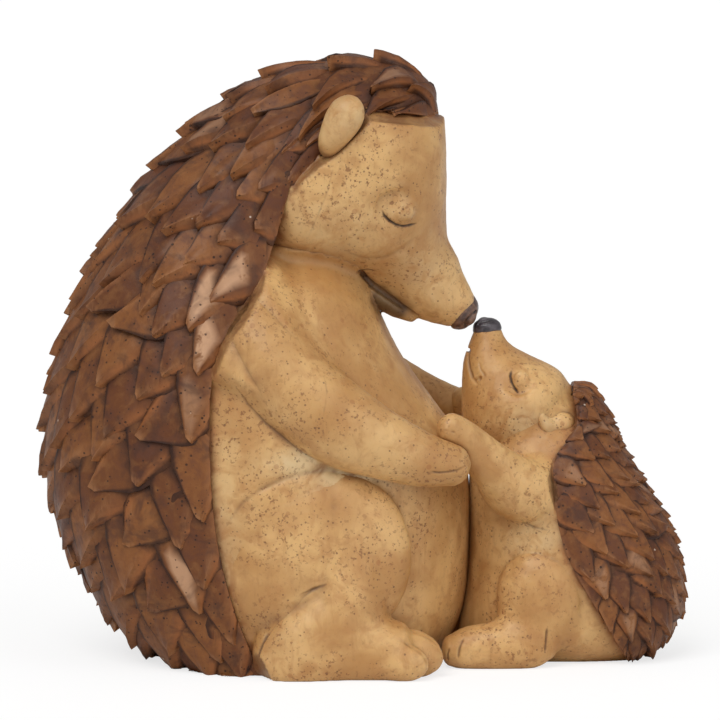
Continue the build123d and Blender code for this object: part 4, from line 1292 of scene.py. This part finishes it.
for side in sides:
    dimple = space.ellipsoid(corner * (1, side, 1) + (0.2, -0.2 * side, 0.1), (0.8, 0.4, 0.5), tilt=12)
    face = cut(face, dimple, 0.4)
ear_spot, fold_spot, hollow_spot = (space.surface(skull, *pixel, guess=12) for pixel in
                                    (ear_pixel, ear_fold_pixel, ear_hollow_pixel))
right_ear, left_ear = young_ear(1), young_ear(-1)
elbow_spot = seen(*elbow_pixel, -17)
haunch_x = seen(*haunch_pixel, -16)[0]
arm_places = [young(*place) for place in
              ((0.420, 0.470, 0.30), (0.325, 0.500, 0.55), (0.193, 0.540, 0.86), (0.067, 0.610, 1.04),
               (-0.053, 0.690, 1.22), (-0.120, 0.725, 1.31))]
arm_shape = limb(arm_places, [5.4, 5.9, 5.7, 4.5, 3.5, 3.0], [1, 1, 1, 1, 0.90, 0.80], round_end=1.0)
far_arm_shift = np.array([3.0, 0, 0])
right_arm = young_arm(arm_shape, 1, 0.0)
left_arm = young_arm(moved(mirrored(arm_shape), far_arm_shift), -1, far_arm_shift[0])
parent_arm_here = space.solid(parent_arm_shape, reach=3.0)
right_leg, left_leg = young_leg(1), young_leg(-1)

thigh = space.trace(joined(trunk, right_leg), thigh_line, 16)
body = trunk
for side in sides:
    body = cut(body, space.line(thigh * (1, side, 1) - (0, 0.5 * side, 0), 0.55), 1.2)
body = soft(body, joined(right_leg, left_leg) + 0.06, 0.5)
body = soft(body, joined(right_arm, left_arm) + 0.06, 1.0 + 2.2 * step(space.x, 24.0, 38.0))
body = np.maximum(soft(body, face + 0.06, 0.3 + 1.4 * step(space.x, 24.0, 30.0)), trunk - 2.5)
everything = joined(body, face, right_ear, left_ear, right_leg, left_leg, right_arm, left_arm, coat_skin,
                    parent_arm_here)
animal = Animal(space, everything, coat_skin, 0.62)

head_strokes = (both(space.trace(face, lash_line, 8), 0.22, 0.34, 1.0)
                + both(space.trace(face, muzzle_line, 6), 0.25, 0.10, 0.15)
                + [(mouth_round, 0.30, 0.12, 0.85)])
animal.skin("young_head_skin", without(face, trunk, 2.0, off_coat), young_skin_paint, ["young_head"], "skin",
            head_strokes, painted=lambda points: hump(points, 31, 46, 22, 14))
for name, ear in (("right", right_ear), ("left", left_ear)):
    animal.skin(f"young_ear_{name}_skin", np.maximum(ear, -(joined(face, coat_skin) + 1.5)), young_skin_paint,
                ["young_ear_" + name], "skin",
                painted=lambda points: 0.6 * np.exp(-((points[:, 0] - 35.5)**2 / 6)))
body_strokes = (both(space.trace(body, armpit_line, 16), 0.30, 0.10, 0.3) + both(thigh, 0.3, 0.1, 0.15)
                + both(space.trace(body, neck_line, 12), 0.25, 0.12, 0.2))
animal.skin("young_body_skin", without(body, face, 1.5, off_coat), young_skin_paint, ["young_body"], "skin",
            body_strokes, painted=lambda points: 0.7 * hump(points, 33, 25, 40, 20))
arm_strokes = [(space.trace(right_arm, line, 24), 0.20, 0.16, 0.25) for line in finger_lines]
leg_strokes = [(space.trace(right_leg, line, guess), 0.24, 0.26, 0.35)
               for line, guess in ((toe_lines[0], 20), (toe_lines[1], 20), (heel_line, 16))]
for name, side, arm, shift in (("right", 1, right_arm, 0.0), ("left", -1, left_arm, far_arm_shift)):
    field = without(arm, joined(trunk, face), 1.6, off_coat)
    if side > 0:
        field = np.maximum(field, -(parent_arm_here + 1.5))
    animal.skin(f"young_arm_{name}_skin", field, young_skin_paint, ["young_arm_" + name], "skin",
                on_side(arm_strokes, side, shift))
for name, side, leg in (("right", 1, right_leg), ("left", -1, left_leg)):
    animal.skin(f"young_leg_{name}_skin", without(leg, trunk, 1.6, off_coat), young_skin_paint,
                ["young_leg_" + name], "skin", on_side(leg_strokes, side))
nose_piece("young_nose_tip", Space((18, -4.5, 60), (30, 4.5, 69), 0.14), young(0.065, 0.979), 96.0,
           ((0.55, 0, 0), (1.65, 2.65, 2.7)), ((-0.1, 0, 0), (1.0, 2.75, 2.8)),
           ((1.4, 0.5, -1.1), (0.9, 1.0, 1.15)), 0.4,
           ((1.3, 1.6, -1.7), (1.9, 0.9, -2.1), (1.9, -0.2, -2.0)), (0.2, 0.45, 0.35), 0.3, (), 0.4,
           young_nose_paint, ["young_nose"])

# Floor, light and camera

def lit_directly(tree, plain, shining, share, surface):
    """Joins two shaders. The second takes that share of what the camera sees, and lights nothing."""
    rays = tree.nodes.new("ShaderNodeLightPath")
    part = tree.nodes.new("ShaderNodeMath")
    part.operation = "MULTIPLY"
    part.inputs[1].default_value = share
    blend = tree.nodes.new("ShaderNodeMixShader")
    for output, socket in ((rays.outputs["Is Camera Ray"], part.inputs[0]),
                           (part.outputs[0], blend.inputs[0]), (plain, blend.inputs[1]),
                           (shining, blend.inputs[2]), (blend.outputs[0], surface)):
        tree.links.new(output, socket)


def glow(tree, kind, strength):
    node = tree.nodes.new(kind)
    node.inputs["Color"].default_value = (1, 1, 1, 1)
    node.inputs["Strength"].default_value = strength
    return node.outputs[0]


def sun(name, azimuth, elevation, strength, width):
    """A soft lamp that shines from an azimuth, 0 at the camera and positive to its right, and an
    elevation."""
    lamp = bpy.data.lights.new(name, "SUN")
    lamp.energy = strength
    lamp.angle = math.radians(width)
    item = bpy.data.objects.new(name, lamp)
    a, e = math.radians(azimuth), math.radians(elevation)
    source = Vector((math.sin(a) * math.cos(e), -math.cos(a) * math.cos(e), math.sin(e)))
    item.rotation_euler = source.to_track_quat("Z", "Y").to_euler()
    collection.objects.link(item)


for item in list(bpy.data.objects):
    if item.name in ("Cube", "Light", "Camera"):
        bpy.data.objects.remove(item)

floor_mesh = bpy.data.meshes.new("floor")
floor_mesh.from_pydata([(-9, -3, 0), (9, -3, 0), (9, 14, 0), (-9, 14, 0)], [], [(0, 1, 2, 3)])
floor = bpy.data.objects.new("floor", floor_mesh)
collection.objects.link(floor)
paper = bpy.data.materials.new("pale_floor")
paper.use_nodes = True
nodes = paper.node_tree.nodes
diffuse = nodes["Principled BSDF"]
for name, value in (("Base Color", (0.86, 0.86, 0.86, 1)), ("Roughness", 0.9), ("Specular IOR Level", 0.0)):
    diffuse.inputs[name].default_value = value
lit_directly(paper.node_tree, diffuse.outputs[0], glow(paper.node_tree, "ShaderNodeEmission", 1.17), 0.62,
             nodes["Material Output"].inputs["Surface"])
floor_mesh.materials.append(paper)

world = bpy.data.worlds.new("studio")
bpy.context.scene.world = world
world.use_nodes = True
nodes = world.node_tree.nodes
sky = nodes["Background"]
sky.inputs["Color"].default_value = (1, 1, 1, 1)
sky.inputs["Strength"].default_value = 0.42
lit_directly(world.node_tree, sky.outputs[0], glow(world.node_tree, "ShaderNodeBackground", 0.8), 1.0,
             nodes["World Output"].inputs["Surface"])

sun("key", -26, 50, 1.48, 38)
sun("fill", 44, 24, 0.70, 60)

lens = bpy.data.cameras.new("camera")
lens.sensor_width = 36.0
lens.lens = lens.sensor_width * photo_distance / (photo_width * photo_pixel)
lens.clip_start = 0.05
lens.clip_end = 60
camera = bpy.data.objects.new("camera", lens)
aim = Vector(((photo_width / 2 - photo_middle[0]) * photo_pixel * mm, 0, photo_height * mm))
back = Vector((0, -math.cos(photo_tilt), math.sin(photo_tilt)))
camera.location = aim + back * photo_distance * mm
camera.rotation_euler = back.to_track_quat("Z", "Y").to_euler()
collection.objects.link(camera)
bpy.context.scene.camera = camera
bpy.context.scene.view_settings.view_transform = "Standard"
